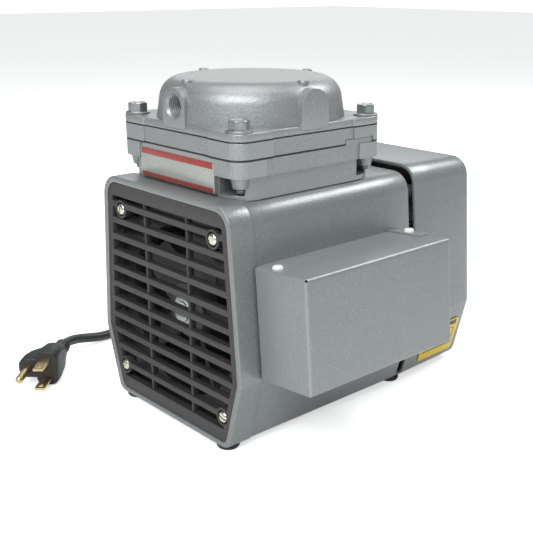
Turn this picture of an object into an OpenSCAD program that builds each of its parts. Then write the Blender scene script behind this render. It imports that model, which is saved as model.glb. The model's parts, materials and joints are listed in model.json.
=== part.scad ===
// Oil-less diaphragm vacuum pump with a motor shell, a square clamped head and a mains lead.
// Millimetres. Origin: centre of the four feet, on the surface the pump stands on.
// +Z up, -Y towards the intake grille, +X towards the electrical box.

/* [Shell] */
// Half width of the shell at its flat top
shell_top_half = 58.2; // [57:0.1:60]
// Half width of the shell where its sides bend inwards
shell_bend_half = 65.2; // [64:0.1:67]
// Half width of the shell at its flat bottom
shell_foot_half = 53.2; // [52.5:0.1:55]
// Height of the shell's top
shell_top_z = 138; // [137:0.5:139]
// Height of the bend in the shell's sides
shell_bend_z = 43.7; // [40:0.1:48]
// Height of the shell's bottom above the floor
floor_gap = 2.7; // [2:0.1:3.5]
// Distance from the feet's centre to the front rim
shell_front = 73; // [72:0.5:75]
// Distance from the feet's centre to the shell's rear edge
shell_back = 63.3; // [62:0.1:64]
// Wall thickness of the shell
shell_wall = 2.8; // [2.4:0.1:3]

/* [Hood] */
// Distance from the feet's centre to the hood's front rim
hood_front = 69; // [68.5:0.1:70]
// Distance from the feet's centre to the hood's back
hood_back = 126.5; // [125.5:0.5:129]
// Wall thickness of the hood
hood_wall = 2.5; // [2.2:0.1:2.8]

/* [Head] */
// Half width of the clamped flanges
head_half = 54; // [53.6:0.1:54.4]
// Place of the head's centre along the shell
head_y = -8.7; // [-9:0.1:-8.4]
// Half spacing of the head bolts
bolt_half = 46.3; // [46:0.1:46.6]
// Radius of the port's tapped wall
port_r = 5.8; // [5.6:0.05:6]
// Height of the ports' centres
port_z = 182.6; // [182:0.1:183]

/* [Drive] */
// Height of the motor shaft
shaft_z = 66; // [65.5:0.1:66.5]
// Radius of the motor shaft
shaft_r = 6; // [5.9:0.05:6]
// Crank throw, half of the stroke
throw = 2.5; // [2.2:0.1:2.5]
// Radial clearance between an inner and an outer bearing ring
ring_gap = 0.3; // [0.2:0.05:0.5]

/* [Electrical box] */
// Depth of the box from the shell's side
box_depth = 40.6; // [39:0.1:42]
// Front end of the box
box_front = -59.5; // [-60:0.1:-59]
// Rear end of the box
box_rear = 52; // [51.5:0.1:52.5]
// Height of the box along the shell's side
box_height = 61.6; // [61:0.1:62]

/* [Mains lead] */
// Diameter of the cord
cord_d = 6.5; // [6:0.1:6.6]

/* [Hidden] */
$fn = 64;

PAINT = "#8f989a";
CAST = "#aab0ae";
BLACK = "#2c2c2e";
STEEL = "#c3c6c8";

// Heights of the head's stack
flange_z = 150.5;
diaphragm_z = 159.2;
diaphragm_t = 1;
plate_z = diaphragm_z + diaphragm_t;
gasket_z = 168.8;
gasket_t = 0.5;
cover_z = gasket_z + gasket_t;
cover_top = 173.6;
chamber_r = 41;
chamber_roof = 165.6;
// Feet
foot_x = 45;
foot_y = 66;
foot_hole_r = 2.1;
foot_neck_r = 4;
tongue_half = 50.2;
// Motor
stator_half = 46;
stator_r = 25;
rotor_r = 24.6;
stack_front = 28;
stack_back = 68;
bolt_ring = 37;
front_plate_y = 2;
rear_plate_y = 84;
plate_t = 6;
crank_w = 12;
motor_bearing_r = 16;
motor_bearing_w = 10;
bearing_ys = [1, 82];
// Box tilt: it sits square to the shell's slanted side
box_tilt = atan((shell_bend_half - shell_top_half) / (shell_top_z - shell_bend_z));
box_mid_z = 75.3;
box_side_x = shell_top_half + (shell_bend_half - shell_top_half)
    * (shell_top_z - box_mid_z) / (shell_top_z - shell_bend_z);
box_wall = 1.5;

// ---------- outlines ----------

function unit(v) = v / norm(v);
function edge_normal(a, b) = let(d = unit(b - a)) [d[1], -d[0]];
// Closed outline through corner points (counter-clockwise), each rounded by its radius,
// and the whole moved inwards by inset
function round_outline(points, radii, inset = 0, steps = 6) = [
    for (i = [0:len(points) - 1])
        let(n = len(points),
            before = edge_normal(points[(i + n - 1) % n], points[i]),
            after = edge_normal(points[i], points[(i + 1) % n]),
            bisect = (before + after) / (1 + before * after),
            r = max(radii[i], inset + 0.2),
            centre = points[i] - r * bisect,
            start = atan2(before[1], before[0]),
            turn = (atan2(after[1], after[0]) - start + 720) % 360)
        for (k = [0:steps])
            centre + (r - inset) * [cos(start + turn * k / steps), sin(start + turn * k / steps)]
];
function body_points(top, bend, foot, top_z, bend_z, foot_z) = [
    [-foot, foot_z], [foot, foot_z], [bend, bend_z], [top, top_z], [-top, top_z], [-bend, bend_z]];
BODY_RADII = [7, 7, 8, 12, 12, 8];
SHELL_POINTS = body_points(shell_top_half, shell_bend_half, shell_foot_half,
    shell_top_z, shell_bend_z, floor_gap);
function shell_outline(inset) = round_outline(SHELL_POINTS, BODY_RADII, inset);
band = 0.8;
function square_points(h) = [[-h, -h], [h, -h], [h, h], [-h, h]];
function arc_points(c, r, from, to, steps) = [
    for (k = [0:steps]) c + r * [cos(from + (to - from) * k / steps), sin(from + (to - from) * k / steps)]];

// Extrudes an outline drawn in X and Z along Y, from y0 to y1
module along_y(y0, y1) { translate([0, y1, 0]) rotate([90, 0, 0]) linear_extrude(y1 - y0) children(); }
module rod_y(r, y0, y1, x = 0, z = 0) { translate([x, y1, z]) rotate([90, 0, 0]) cylinder(r = r, h = y1 - y0); }
module rod_z(r, z0, z1, x = 0, y = 0) { translate([x, y, z0]) cylinder(r = r, h = z1 - z0); }
module block(x0, x1, y0, y1, z0, z1) { translate([x0, y0, z0]) cube([x1 - x0, y1 - y0, z1 - z0]); }
module four(x, y) { for (sx = [-1, 1], sy = [-1, 1]) translate([sx * x, sy * y, 0]) children(); }
module pan_head(r, h) { cylinder(r = r, h = h * 0.6); translate([0, 0, h * 0.6]) cylinder(r1 = r, r2 = r * 0.6, h = h * 0.4); }

// ---------- shell and grille ----------

grille_front = 72;
grille_t = 4.5;
GRILLE_SCREWS = [[-43.5, 119.7], [43.5, 119.7], [-48.3, 20.4], [48.3, 20.4]];
HOOD_POSTS = [[-46, 122], [46, 122], [-41, 14.5], [41, 14.5]];
post_r = 4.6;
lug_r = 5;
opening_r = 34;
HOUSING_SCREWS = [[-35.3, -35.3], [35.3, -35.3], [-35.3, 35.3], [35.3, 35.3]];
grommet_y = 30;
grommet_z = 70;

module front_shell() {
    color(PAINT) difference() {
        union() {
            along_y(-shell_front, shell_back) polygon(shell_outline(0));
            difference() {
                along_y(-shell_front, -shell_front + 16) polygon(shell_outline(-band));
                block(-80, 80, -shell_front - 1, -shell_front + 17, 0, floor_gap + 0.4);
            }
            block(-tongue_half, tongue_half, shell_back - 5, 71.5, floor_gap, floor_gap + shell_wall);
        }
        difference() {
            along_y(-shell_front - 1, shell_back + 1) polygon(shell_outline(shell_wall));
            // Lugs behind the grille and at the rear corners
            for (p = GRILLE_SCREWS) rod_y(lug_r, -shell_front + 7.5, -shell_front + 20, p[0], p[1]);
            for (p = GRILLE_SCREWS) block(min(p[0], sign(p[0]) * 70), max(p[0], sign(p[0]) * 70),
                -shell_front + 7.5, -shell_front + 20, p[1] - 2, p[1] + 2);
            for (p = HOOD_POSTS) rod_y(lug_r + 0.5, shell_back - 12, shell_back, p[0], p[1]);
            for (p = HOOD_POSTS) block(min(p[0], sign(p[0]) * 70), max(p[0], sign(p[0]) * 70),
                shell_back - 12, shell_back, p[1] - 2, p[1] + 2);
        }
        for (p = GRILLE_SCREWS) rod_y(1.6, -shell_front, -shell_front + 18, p[0], p[1]);
        for (p = HOOD_POSTS) rod_y(1.9, shell_back - 10, shell_back + 1, p[0], p[1]);
        // Opening under the head, with the housing's screw holes round it
        rod_z(opening_r, shell_top_z - 6, shell_top_z + 1, 0, head_y);
        translate([0, head_y, 0]) for (p = HOUSING_SCREWS)
            rod_z(2.2, shell_top_z - 6, shell_top_z + 1, p[0], p[1]);
        four(foot_x, foot_y) rod_z(foot_neck_r, floor_gap - 1, floor_gap + shell_wall + 1);
        // Hole for the motor leads, and the box base's screw holes
        box_place() translate([-6, grommet_y, grommet_z - box_mid_z]) rotate([0, 90, 0]) cylinder(r = 6, h = 12);
    }
}

bar_pitch = 10.05;
bar_h = 3.4;
module intake_grille() {
    face = round_outline(SHELL_POINTS, BODY_RADII, shell_wall + 0.4);
    rim = round_outline(SHELL_POINTS, BODY_RADII, shell_wall + 4.5);
    color(BLACK) difference() {
        union() {
            difference() {
                along_y(-grille_front, -grille_front + grille_t) polygon(face);
                along_y(-grille_front - 1, -grille_front + grille_t + 1) polygon(rim);
            }
            intersection() {
                along_y(-grille_front, -grille_front + grille_t) polygon(face);
                union() {
                    for (k = [0:11]) block(-70, 70, -grille_front, -grille_front + grille_t,
                        9.8 + bar_pitch * k, 9.8 + bar_pitch * k + bar_h);
                    for (sx = [-1, 1]) block(sx * 20 - 0.8, sx * 20 + 0.8,
                        -grille_front + 0.6, -grille_front + grille_t, 3, 138);
                    for (p = GRILLE_SCREWS) rod_y(5.4, -grille_front, -grille_front + grille_t, p[0], p[1]);
                    block(-70, 70, -grille_front, -grille_front + grille_t, 127, 138);
                }
            }
        }
        for (p = GRILLE_SCREWS) rod_y(1.9, -grille_front - 1, -grille_front + grille_t + 1, p[0], p[1]);
        for (p = GRILLE_SCREWS) rod_y(4.2, -grille_front - 1, -grille_front + 1.5, p[0], p[1]);
    }
}

module grille_screws() {
    color(STEEL) for (p = GRILLE_SCREWS) {
        rod_y(1.5, -grille_front + 1.5, -grille_front + 15, p[0], p[1]);
        translate([p[0], -grille_front + 1.5, p[1]]) rotate([90, 0, 0]) pan_head(3.4, 2.2);
    }
}

shroud_y = -62;
shroud_r = 49.5;
module fan_shroud() {
    color(BLACK) difference() {
        union() {
            along_y(shroud_y, shroud_y + 2) polygon(round_outline(SHELL_POINTS, BODY_RADII, shell_wall + 0.6));
            rod_y(shroud_r + 2, shroud_y, shroud_y + 14, 0, shaft_z);
        }
        rod_y(shroud_r, shroud_y - 1, shroud_y + 15, 0, shaft_z);
        for (p = GRILLE_SCREWS) rod_y(lug_r + 1.2, shroud_y - 1, shroud_y + 15, p[0], p[1]);
        for (p = GRILLE_SCREWS) block(min(p[0], sign(p[0]) * 70), max(p[0], sign(p[0]) * 70),
            shroud_y - 1, shroud_y + 15, p[1] - 3, p[1] + 3);
    }
}

// ---------- hood ----------

HOOD_FRONT_POINTS = body_points(58, 64.6, 53.2, 141.3, 44, 2.9);
HOOD_BACK_POINTS = body_points(55.4, 62, 51.3, 139.2, 44.5, 3.4);
module hood_form(inset, y0, y1) {
    hull() {
        along_y(y0, y0 + 0.1) polygon(round_outline(HOOD_FRONT_POINTS, BODY_RADII, inset, 5));
        along_y(y1 - 0.1, y1) polygon(round_outline(HOOD_BACK_POINTS, BODY_RADII, inset, 5));
    }
}
relief_y = 83;
relief_z = 32;
relief_x = -60.7;
relief_tilt = 15.3;
module at_relief() { translate([relief_x, relief_y, relief_z]) rotate([0, -90 - relief_tilt, 0]) children(); }

module rear_hood() {
    color(PAINT) difference() {
        union() {
            difference() {
                hood_form(0, hood_front, hood_back);
                hood_form(hood_wall, hood_front - 1, hood_back - hood_wall);
            }
            for (p = HOOD_POSTS) rod_y(post_r, shell_back + 0.2, hood_back - 2, p[0], p[1]);
        }
        for (p = HOOD_POSTS) rod_y(2.1, shell_back - 1, hood_back + 1, p[0], p[1]);
        for (p = HOOD_POSTS) rod_y(4, hood_back - 4, hood_back + 1, p[0], p[1]);
        block(-tongue_half - 1, tongue_half + 1, hood_front - 1, hood_front + 3.5, 0, 7);
        at_relief() translate([0, 0, -8]) cylinder(r = 5.2, h = 20);
    }
}

module hood_screws() {
    color(STEEL) for (p = HOOD_POSTS) {
        rod_y(1.8, shell_back - 8, hood_back - 4, p[0], p[1]);
        translate([p[0], hood_back - 4, p[1]]) rotate([-90, 0, 0]) pan_head(3.6, 2.4);
    }
}

// ---------- head ----------

// Square flange outline with a raised pad at each corner
module flange_form(h, pad_from = 30) {
    linear_extrude(h) polygon(round_outline(square_points(head_half - 0.8), [9, 9, 9, 9]));
    intersection() {
        linear_extrude(h) polygon(round_outline(square_points(head_half), [9, 9, 9, 9]));
        for (sx = [-1, 1], sy = [-1, 1])
            translate([sx * (pad_from + 15), sy * (pad_from + 15), h / 2]) cube([30, 30, h], center = true);
    }
}
module at_head(z = 0) { translate([0, head_y, z]) children(); }
neck_half = head_half - 3;

module pump_housing() {
    color(CAST) at_head() difference() {
        union() {
            translate([0, 0, flange_z]) flange_form(diaphragm_z - flange_z, 34.5);
            translate([0, 0, shell_top_z]) difference() {
                linear_extrude(flange_z - shell_top_z + 1)
                    polygon(round_outline(square_points(neck_half), [14, 14, 14, 14]));
                // Each side has one pocket, at its right-hand end
                for (turn = [0, 90, 180, 270]) rotate([0, 0, turn])
                    translate([35, -60, 2.6]) cube([13.4, 21, flange_z - shell_top_z - 2.6]);
            }
            block(-34, 34, -head_half + 0.8, -neck_half + 1, 140.6, flange_z + 0.5);
            // Raised lip that fits a notch in the valve plate
            block(head_half - 6, head_half - 0.8, 24, 45, diaphragm_z - 0.5, diaphragm_z + 3);
            four(bolt_half, bolt_half) translate([0, 0, flange_z - 6]) cylinder(r1 = 4, r2 = 5.2, h = 6.5);
        }
        rod_z(chamber_r, shell_top_z - 1, diaphragm_z + 1);
        four(bolt_half, bolt_half) rod_z(2.7, flange_z - 8, diaphragm_z + 1);
        for (p = HOUSING_SCREWS) rod_z(1.7, shell_top_z - 1, shell_top_z + 9, p[0], p[1]);
        // Clears the shell's raised front band
        block(-60, 60, -60, -56.8 - head_y, shell_top_z - 1, shell_top_z + 0.9);
    }
}

bracket_top = shell_top_z - shell_wall;
module housing_screws() {
    color(STEEL) at_head() for (p = HOUSING_SCREWS) {
        rod_z(1.6, bracket_top - 6, shell_top_z + 8, p[0], p[1]);
        translate([p[0], p[1], bracket_top - 6]) rotate([180, 0, 0]) pan_head(3.6, 2.6);
    }
}

// The diaphragm's middle is clamped to the rod one throw below its rim
clamp_r = 22;
clamp_z = diaphragm_z - throw;
module diaphragm() {
    color("#3a3636") at_head() difference() {
        union() {
            translate([0, 0, diaphragm_z]) difference() {
                flange_form(diaphragm_t);
                rod_z(39.4, -1, diaphragm_t + 1);
            }
            rotate_extrude() polygon([[2.5, clamp_z + 0.1], [clamp_r + 1, clamp_z + 0.1], [29, clamp_z - 2.6],
                [34, clamp_z - 1.6], [39.5, diaphragm_z], [40.5, diaphragm_z], [40.5, plate_z],
                [39, plate_z], [33.6, clamp_z - 0.6], [29, clamp_z - 1.6], [clamp_r + 0.6, clamp_z + 0.9],
                [2.5, clamp_z + 0.9]]);
        }
        block(head_half - 6.3, head_half + 1, 23.7, 45.3, diaphragm_z - 1, plate_z + 1);
        four(bolt_half, bolt_half) rod_z(2.7, diaphragm_z - 1, plate_z + 1);
    }
}

reed_y = 31.5;
reed_half = 12;
reed_w = 9;
reed_t = 0.4;
reed_pin_x = -8.6;
reed_root_x = -5;
reed_port_x = 6;
module valve_plate() {
    color(CAST) at_head() difference() {
        translate([0, 0, plate_z]) flange_form(gasket_z - plate_z);
        block(head_half - 6.3, head_half + 1, 23.7, 45.3, plate_z - 1, diaphragm_z + 3.3);
        rod_z(chamber_r - 1, plate_z - 1, chamber_roof);
        four(bolt_half, bolt_half) rod_z(2.7, plate_z - 1, gasket_z + 1);
        for (s = [-1, 1]) {
            translate([reed_port_x, s * reed_y, plate_z]) cylinder(r = 3.2, h = 10);
            translate([reed_pin_x, s * reed_y, plate_z]) cylinder(r = 1.3, h = 10);
        }
    }
}

// Moving blade of a reed, which bends at reed_root_x; its clamped end is drawn with the stops
module reed() {
    translate([reed_root_x, -reed_w / 2, 0]) cube([reed_port_x - reed_root_x, reed_w, reed_t]);
    translate([reed_port_x, 0, 0]) cylinder(r = reed_w / 2, h = reed_t);
}
intake_reed_z = chamber_roof - 0.1 - reed_t;
exhaust_reed_z = gasket_z + 0.1;
module intake_reed() { color(STEEL) at_head(intake_reed_z) translate([0, -reed_y, 0]) reed(); }
module exhaust_reed() { color(STEEL) at_head(exhaust_reed_z) translate([0, reed_y, 0]) reed(); }

// Clamped ends of both reeds, with the sloping stop above the exhaust reed
module reed_stops() {
    color(STEEL) at_head() {
        translate([0, reed_y, gasket_z]) difference() {
            union() {
                translate([-reed_half, -4, 0]) cube([6.6, 8, 1.8]);
                translate([-5.6, 4, reed_t + 0.4]) rotate([90, 0, 0]) linear_extrude(8)
                    polygon([[0, 0], [0, 1], [14.6, 3.2], [15, 2.1]]);
            }
            translate([reed_pin_x, 0, -1]) cylinder(r = 1.3, h = 5);
        }
        translate([0, -reed_y, chamber_roof - 1.6]) difference() {
            translate([-reed_half, -4, 0]) cube([6.6, 8, 1.6]);
            translate([reed_pin_x, 0, -1]) cylinder(r = 1.3, h = 5);
        }
    }
}

module reed_screws() {
    color(STEEL) at_head() {
        translate([reed_pin_x, reed_y, gasket_z + 1.8]) pan_head(2.5, 1.4);
        translate([reed_pin_x, reed_y, chamber_roof + 0.6]) cylinder(r = 1.2, h = gasket_z - chamber_roof + 1.4);
        translate([reed_pin_x, -reed_y, chamber_roof - 1.6]) rotate([180, 0, 0]) pan_head(2.5, 1.4);
        translate([reed_pin_x, -reed_y, chamber_roof - 1.8]) cylinder(r = 1.2, h = 4);
    }
}

module head_gasket() {
    color("#4a4a48") at_head(gasket_z) difference() {
        flange_form(gasket_t);
        difference() {
            rod_z(chamber_r + 1, -1, gasket_t + 1);
            block(-60, 60, -2.5, 2.5, -2, gasket_t + 2);
        }
        four(bolt_half, bolt_half) rod_z(2.7, -1, gasket_t + 1);
    }
}

dome_r = 53.6;
dome_draft = 9;
shoulder_r = 12.9;
dome_edge_z = 195.9;
dome_top_z = 197.4;
dome_wall = 4;
boss_half = 10;
// Half profile of the dome, moved inwards by t
function dome_profile(t) = let(
        r = shoulder_r - t,
        zc = dome_edge_z - shoulder_r,
        rc = dome_r - tan(dome_draft) * (zc + shoulder_r * sin(dome_draft) - cover_top)
            - shoulder_r * cos(dome_draft))
    concat([[0, cover_z - 1], [dome_r - t, cover_z - 1], [dome_r - t, cover_top]],
        arc_points([rc, zc], r, dome_draft, 88, 8), [[rc * 0.5, dome_top_z - 0.4 - t], [0, dome_top_z - t]]);

module boss(turn) {
    rotate([0, 0, turn]) translate([0, -head_half + 0.2, 0]) rotate([90, 0, 0]) mirror([0, 0, 1])
        linear_extrude(18) {
            translate([0, port_z]) circle(r = boss_half);
            translate([-boss_half, cover_top - 2]) square([2 * boss_half, port_z - cover_top + 2]);
        }
}

module head_cover() {
    color(CAST) at_head() difference() {
        union() {
            translate([0, 0, cover_z]) flange_form(cover_top - cover_z);
            intersection() {
                rotate_extrude($fn = 96) polygon(dome_profile(0));
                rod_z(80, cover_z, 210);
            }
            for (turn = [0, 90, 180, 270]) boss(turn);
            for (turn = [0, 90, 180, 270]) rotate([0, 0, turn]) rod_z(3, dome_edge_z - 5, dome_edge_z + 0.5, 44, 0);
        }
        // Intake and exhaust rooms, with a wall between them
        difference() {
            rotate_extrude($fn = 96) intersection() {
                polygon(dome_profile(dome_wall));
                translate([0, 100]) square([chamber_r, 100]);
            }
            block(-60, 60, -2.5, 2.5, 150, 210);
        }
        for (s = [-1, 1]) rod_y(port_r, min(s * 30, s * 60), max(s * 30, s * 60), 0, port_z);
        four(bolt_half, bolt_half) rod_z(2.7, cover_z - 1, cover_top + 1);
        four(bolt_half, bolt_half) rod_z(7.6, cover_top, cover_top + 12);
    }
}

module head_bolts() {
    color(STEEL) at_head() four(bolt_half, bolt_half) {
        rod_z(2.5, 142.2, cover_top + 1);
        translate([0, 0, cover_top]) cylinder(r = 7, h = 1.4);
        translate([0, 0, cover_top + 1.4]) cylinder(r = 5.6, h = 4.8, $fn = 6);
    }
}

// ---------- crank and rod ----------

// The crank pin stands one throw below the shaft at rest, so the diaphragm is pulled down
pin_z = shaft_z - throw;
journal_r = 10;
crank_y0 = head_y - crank_w / 2;
crank_y1 = head_y + crank_w / 2;
rod_bearing_r = 21;

module ring_y(outer, inner, y0, y1, z) {
    difference() {
        rod_y(outer, y0, y1, 0, z);
        rod_y(inner, y0 - 1, y1 + 1, 0, z);
    }
}

module connecting_rod() {
    color("#b4b8b6") difference() {
        union() {
            rod_y(rod_bearing_r + 5, crank_y0, crank_y1, 0, pin_z);
            block(-8, 8, head_y - 4.5, head_y + 4.5, pin_z + 20, clamp_z - 2);
            for (s = [-1, 1]) block(min(s * 6, s * 9), max(s * 6, s * 9),
                head_y - 6, head_y + 6, pin_z + 20, clamp_z - 2);
            at_head(clamp_z - 3) cylinder(r = clamp_r, h = 3);
            at_head(clamp_z - 10) cylinder(r1 = 8, r2 = 15, h = 8);
        }
        rod_y(rod_bearing_r, crank_y0 - 1, crank_y1 + 1, 0, pin_z);
        at_head(clamp_z - 16) cylinder(r = 2.1, h = 20);
    }
}

module diaphragm_retainer() {
    color("#b4b8b6") at_head(clamp_z + 1) difference() {
        cylinder(r = clamp_r, h = 2);
        translate([0, 0, -1]) cylinder(r = 2.2, h = 5);
        translate([0, 0, 0.4]) cylinder(r1 = 2.3, r2 = 5, h = 1.7);
    }
}

module retainer_screw() {
    color(STEEL) at_head(clamp_z + 1) difference() {
        union() {
            translate([0, 0, -14]) cylinder(r = 2, h = 14.6);
            translate([0, 0, 0.5]) cylinder(r1 = 2.1, r2 = 4.6, h = 1.5);
        }
        translate([0, 0, 1]) cylinder(r = 1.6, h = 3, $fn = 6);
    }
}

// An outer ring with a shield on each side, drawn round its own centre
module bearing_outer(r, inner_r, w) {
    difference() {
        cylinder(r = r, h = w);
        translate([0, 0, -1]) cylinder(r = inner_r + ring_gap, h = w + 2);
        difference() {
            translate([0, 0, 1]) cylinder(r = r - 2.6, h = w - 2);
            translate([0, 0, 1]) cylinder(r = inner_r + ring_gap, h = w - 2);
        }
    }
}
module bearing_inner(r, bore_r, w) {
    difference() {
        cylinder(r = r, h = w);
        translate([0, 0, -1]) cylinder(r = bore_r, h = w + 2);
    }
}
module turn_y(y, z) { translate([0, y, z]) rotate([-90, 0, 0]) children(); }

rod_inner_r = 13.5;
motor_inner_r = 9.5;
module rod_bearing() { color(STEEL) turn_y(crank_y0, pin_z) bearing_outer(rod_bearing_r, rod_inner_r, crank_w); }
module rod_bearing_inner() { color("#9a9da0") turn_y(crank_y0, pin_z) bearing_inner(rod_inner_r, journal_r, crank_w); }
module motor_bearings() {
    color(STEEL) for (y = bearing_ys) turn_y(y, shaft_z) bearing_outer(motor_bearing_r, motor_inner_r, motor_bearing_w);
}
module bearing_inners() {
    color("#9a9da0") for (y = bearing_ys) turn_y(y, shaft_z) bearing_inner(motor_inner_r, shaft_r, motor_bearing_w);
}

// Eccentric journal with its counterweight on the fan's side
weight_y = crank_y0 - 9;
module eccentric() {
    color("#7d8184") difference() {
        union() {
            rod_y(journal_r, weight_y + 7, crank_y1 + 0.5, 0, pin_z);
            rod_y(12, weight_y, weight_y + 7.5, 0, shaft_z);
            intersection() {
                rod_y(25, weight_y, weight_y + 7.5, 0, shaft_z);
                block(-30, 30, weight_y, weight_y + 7.5, shaft_z + 3, shaft_z + 30);
            }
        }
        rod_y(shaft_r, weight_y - 1, crank_y1 + 2, 0, shaft_z);
        translate([0, weight_y + 3.6, shaft_z]) cylinder(r = 2, h = 30);
    }
}
module eccentric_screw() {
    color("#56585a") translate([0, weight_y + 3.6, shaft_z + shaft_r]) difference() {
        cylinder(r = 1.95, h = 8);
        translate([0, 0, 5]) cylinder(r = 1.2, h = 4, $fn = 6);
    }
}

// ---------- motor ----------

module motor_shaft() { color(STEEL) rod_y(shaft_r, -62.5, 96, 0, shaft_z); }

module rotor_core() {
    color("#8b8078") difference() {
        rod_y(rotor_r, stack_front, stack_back, 0, shaft_z);
        rod_y(shaft_r, stack_front - 1, stack_back + 1, 0, shaft_z);
    }
}
module rotor_cage() {
    color(CAST) for (y = [stack_front - 5, stack_back]) {
        ring_y(rotor_r - 1, 14, y, y + 5, shaft_z);
        for (a = [0:60:300]) translate([0, y == stack_back ? y + 4 : y - 5, shaft_z]) rotate([0, a, 0])
            translate([15, 0, -1]) cube([7.5, 6, 2]);
    }
}

blades = 5;
fan_y0 = -59;
fan_y1 = -47;
module cooling_fan() {
    color("#4b4d4f") difference() {
        union() {
            rod_y(16, fan_y0, fan_y1, 0, shaft_z);
            for (k = [0:blades - 1]) translate([0, 0, shaft_z]) rotate([0, 72 * k, 0]) translate([30, -53, 0])
                rotate([32, 0, 0]) cube([32, 1.8, 19], center = true);
        }
        rod_y(shaft_r, fan_y0 - 1, fan_y1 + 1, 0, shaft_z);
        difference() {
            rod_y(13, fan_y0 + 3, fan_y1 + 1, 0, shaft_z);
            rod_y(9, fan_y0, fan_y1 + 2, 0, shaft_z);
        }
    }
}
module fan_nut() {
    color(STEEL) difference() {
        translate([0, fan_y0, shaft_z]) rotate([90, 0, 0]) cylinder(r = 9.5, h = 3, $fn = 6);
        rod_y(shaft_r, fan_y0 - 4, fan_y0 + 1, 0, shaft_z);
    }
}

module stator_plan(h) {
    polygon(round_outline(square_points(h), [15, 15, 15, 15], 0, 3));
}
module stator_core() {
    color("#7f7a76") difference() {
        along_y(stack_front, stack_back) translate([0, shaft_z]) stator_plan(stator_half);
        rod_y(stator_r, stack_front - 1, stack_back + 1, 0, shaft_z);
        translate([0, 0, shaft_z]) for (sx = [-1, 1], sz = [-1, 1])
            rod_y(2.4, stack_front - 1, stack_back + 1, sx * bolt_ring, sz * bolt_ring);
        // Winding slots
        for (a = [0:30:330]) translate([0, 0, shaft_z]) rotate([0, a, 0]) translate([26.4, stack_front - 1, -2.4])
            cube([8.4, stack_back - stack_front + 2, 4.8]);
    }
}
coil_reach = 10;
module stator_coils() {
    color("#9c5a34") {
        for (y = [stack_front - coil_reach, stack_back]) ring_y(36, 27, y, y + coil_reach, shaft_z);
        for (a = [0:30:330]) translate([0, 0, shaft_z]) rotate([0, a, 0])
            translate([27.2, stack_front - 0.5, -2.1]) cube([7, stack_back - stack_front + 1, 4.2]);
    }
}
module thermal_protector() {
    color("#2b2b2b") block(-6, 6, stack_back + coil_reach, stack_back + coil_reach + 5, shaft_z + 27, shaft_z + 35);
}

module bearing_hub(y, w) { rod_y(motor_bearing_r + 5, y, y + w, 0, shaft_z); }
module bolt_posts(y0, y1) {
    for (sx = [-1, 1], sz = [-1, 1]) rod_y(6, y0, y1, sx * bolt_ring, shaft_z + sz * bolt_ring);
}
module bolt_holes() {
    for (sx = [-1, 1], sz = [-1, 1]) rod_y(2.3, -10, 110, sx * bolt_ring, shaft_z + sz * bolt_ring);
}
front_web_half = 43;
module front_bracket() {
    color(CAST) difference() {
        union() {
            block(-front_web_half, front_web_half, front_plate_y, front_plate_y + plate_t, shaft_z - 43, bracket_top);
            block(-front_web_half, front_web_half, head_y - 40, head_y + 40, bracket_top - 6, bracket_top);
            for (sx = [-1, 1]) block(sx * 41 - 2, sx * 41 + 2, front_plate_y, front_plate_y + 24,
                bracket_top - 22, bracket_top - 3);
            block(-34, 34, front_plate_y, front_plate_y + plate_t, floor_gap + shell_wall + 0.1, shaft_z - 40);
            bearing_hub(front_plate_y - 2, 12);
            bolt_posts(front_plate_y, stack_front);
        }
        rod_z(opening_r, bracket_top - 7, bracket_top + 1, 0, head_y);
        block(-28, 28, front_plate_y - 1, front_plate_y + plate_t + 1, shaft_z + 26, bracket_top - 8);
        rod_y(motor_bearing_r, 1, front_plate_y + 12, 0, shaft_z);
        rod_y(shaft_r + 5, -3, 20, 0, shaft_z);
        at_head() for (p = HOUSING_SCREWS) rod_z(1.9, bracket_top - 8, bracket_top + 1, p[0], p[1]);
        bolt_holes();
    }
}
module rear_bracket() {
    color(CAST) difference() {
        union() {
            for (turn = [45, 135]) translate([0, 0, shaft_z]) rotate([0, turn, 0])
                block(-55, 55, rear_plate_y, rear_plate_y + plate_t, -7, 7);
            rod_y(27, rear_plate_y, rear_plate_y + plate_t, 0, shaft_z);
            bearing_hub(rear_plate_y - 3, 13);
            bolt_posts(stack_back, rear_plate_y + plate_t);
        }
        rod_y(motor_bearing_r, rear_plate_y - 4, rear_plate_y + 8, 0, shaft_z);
        rod_y(shaft_r + 5, rear_plate_y - 4, rear_plate_y + 20, 0, shaft_z);
        bolt_holes();
    }
}
module through_bolts() {
    color(STEEL) for (sx = [-1, 1], sz = [-1, 1]) {
        rod_y(2.1, front_plate_y - 3, rear_plate_y + plate_t + 1, sx * bolt_ring, shaft_z + sz * bolt_ring);
        for (y = [front_plate_y - 3.2, rear_plate_y + plate_t])
            translate([sx * bolt_ring, y, shaft_z + sz * bolt_ring]) rotate([-90, 0, 0]) cylinder(r = 4.2, h = 3.2, $fn = 6);
    }
}

// ---------- electrical box ----------

// X runs outwards from the shell's side, Y along the shell, Z up the slanted side
module box_place() { translate([box_side_x, 0, box_mid_z]) rotate([0, -box_tilt, 0]) children(); }
box_half = box_height / 2;
lap_y = 43.5;
BOX_SCREWS = [[13, -53.5], [13, 48]];

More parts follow.
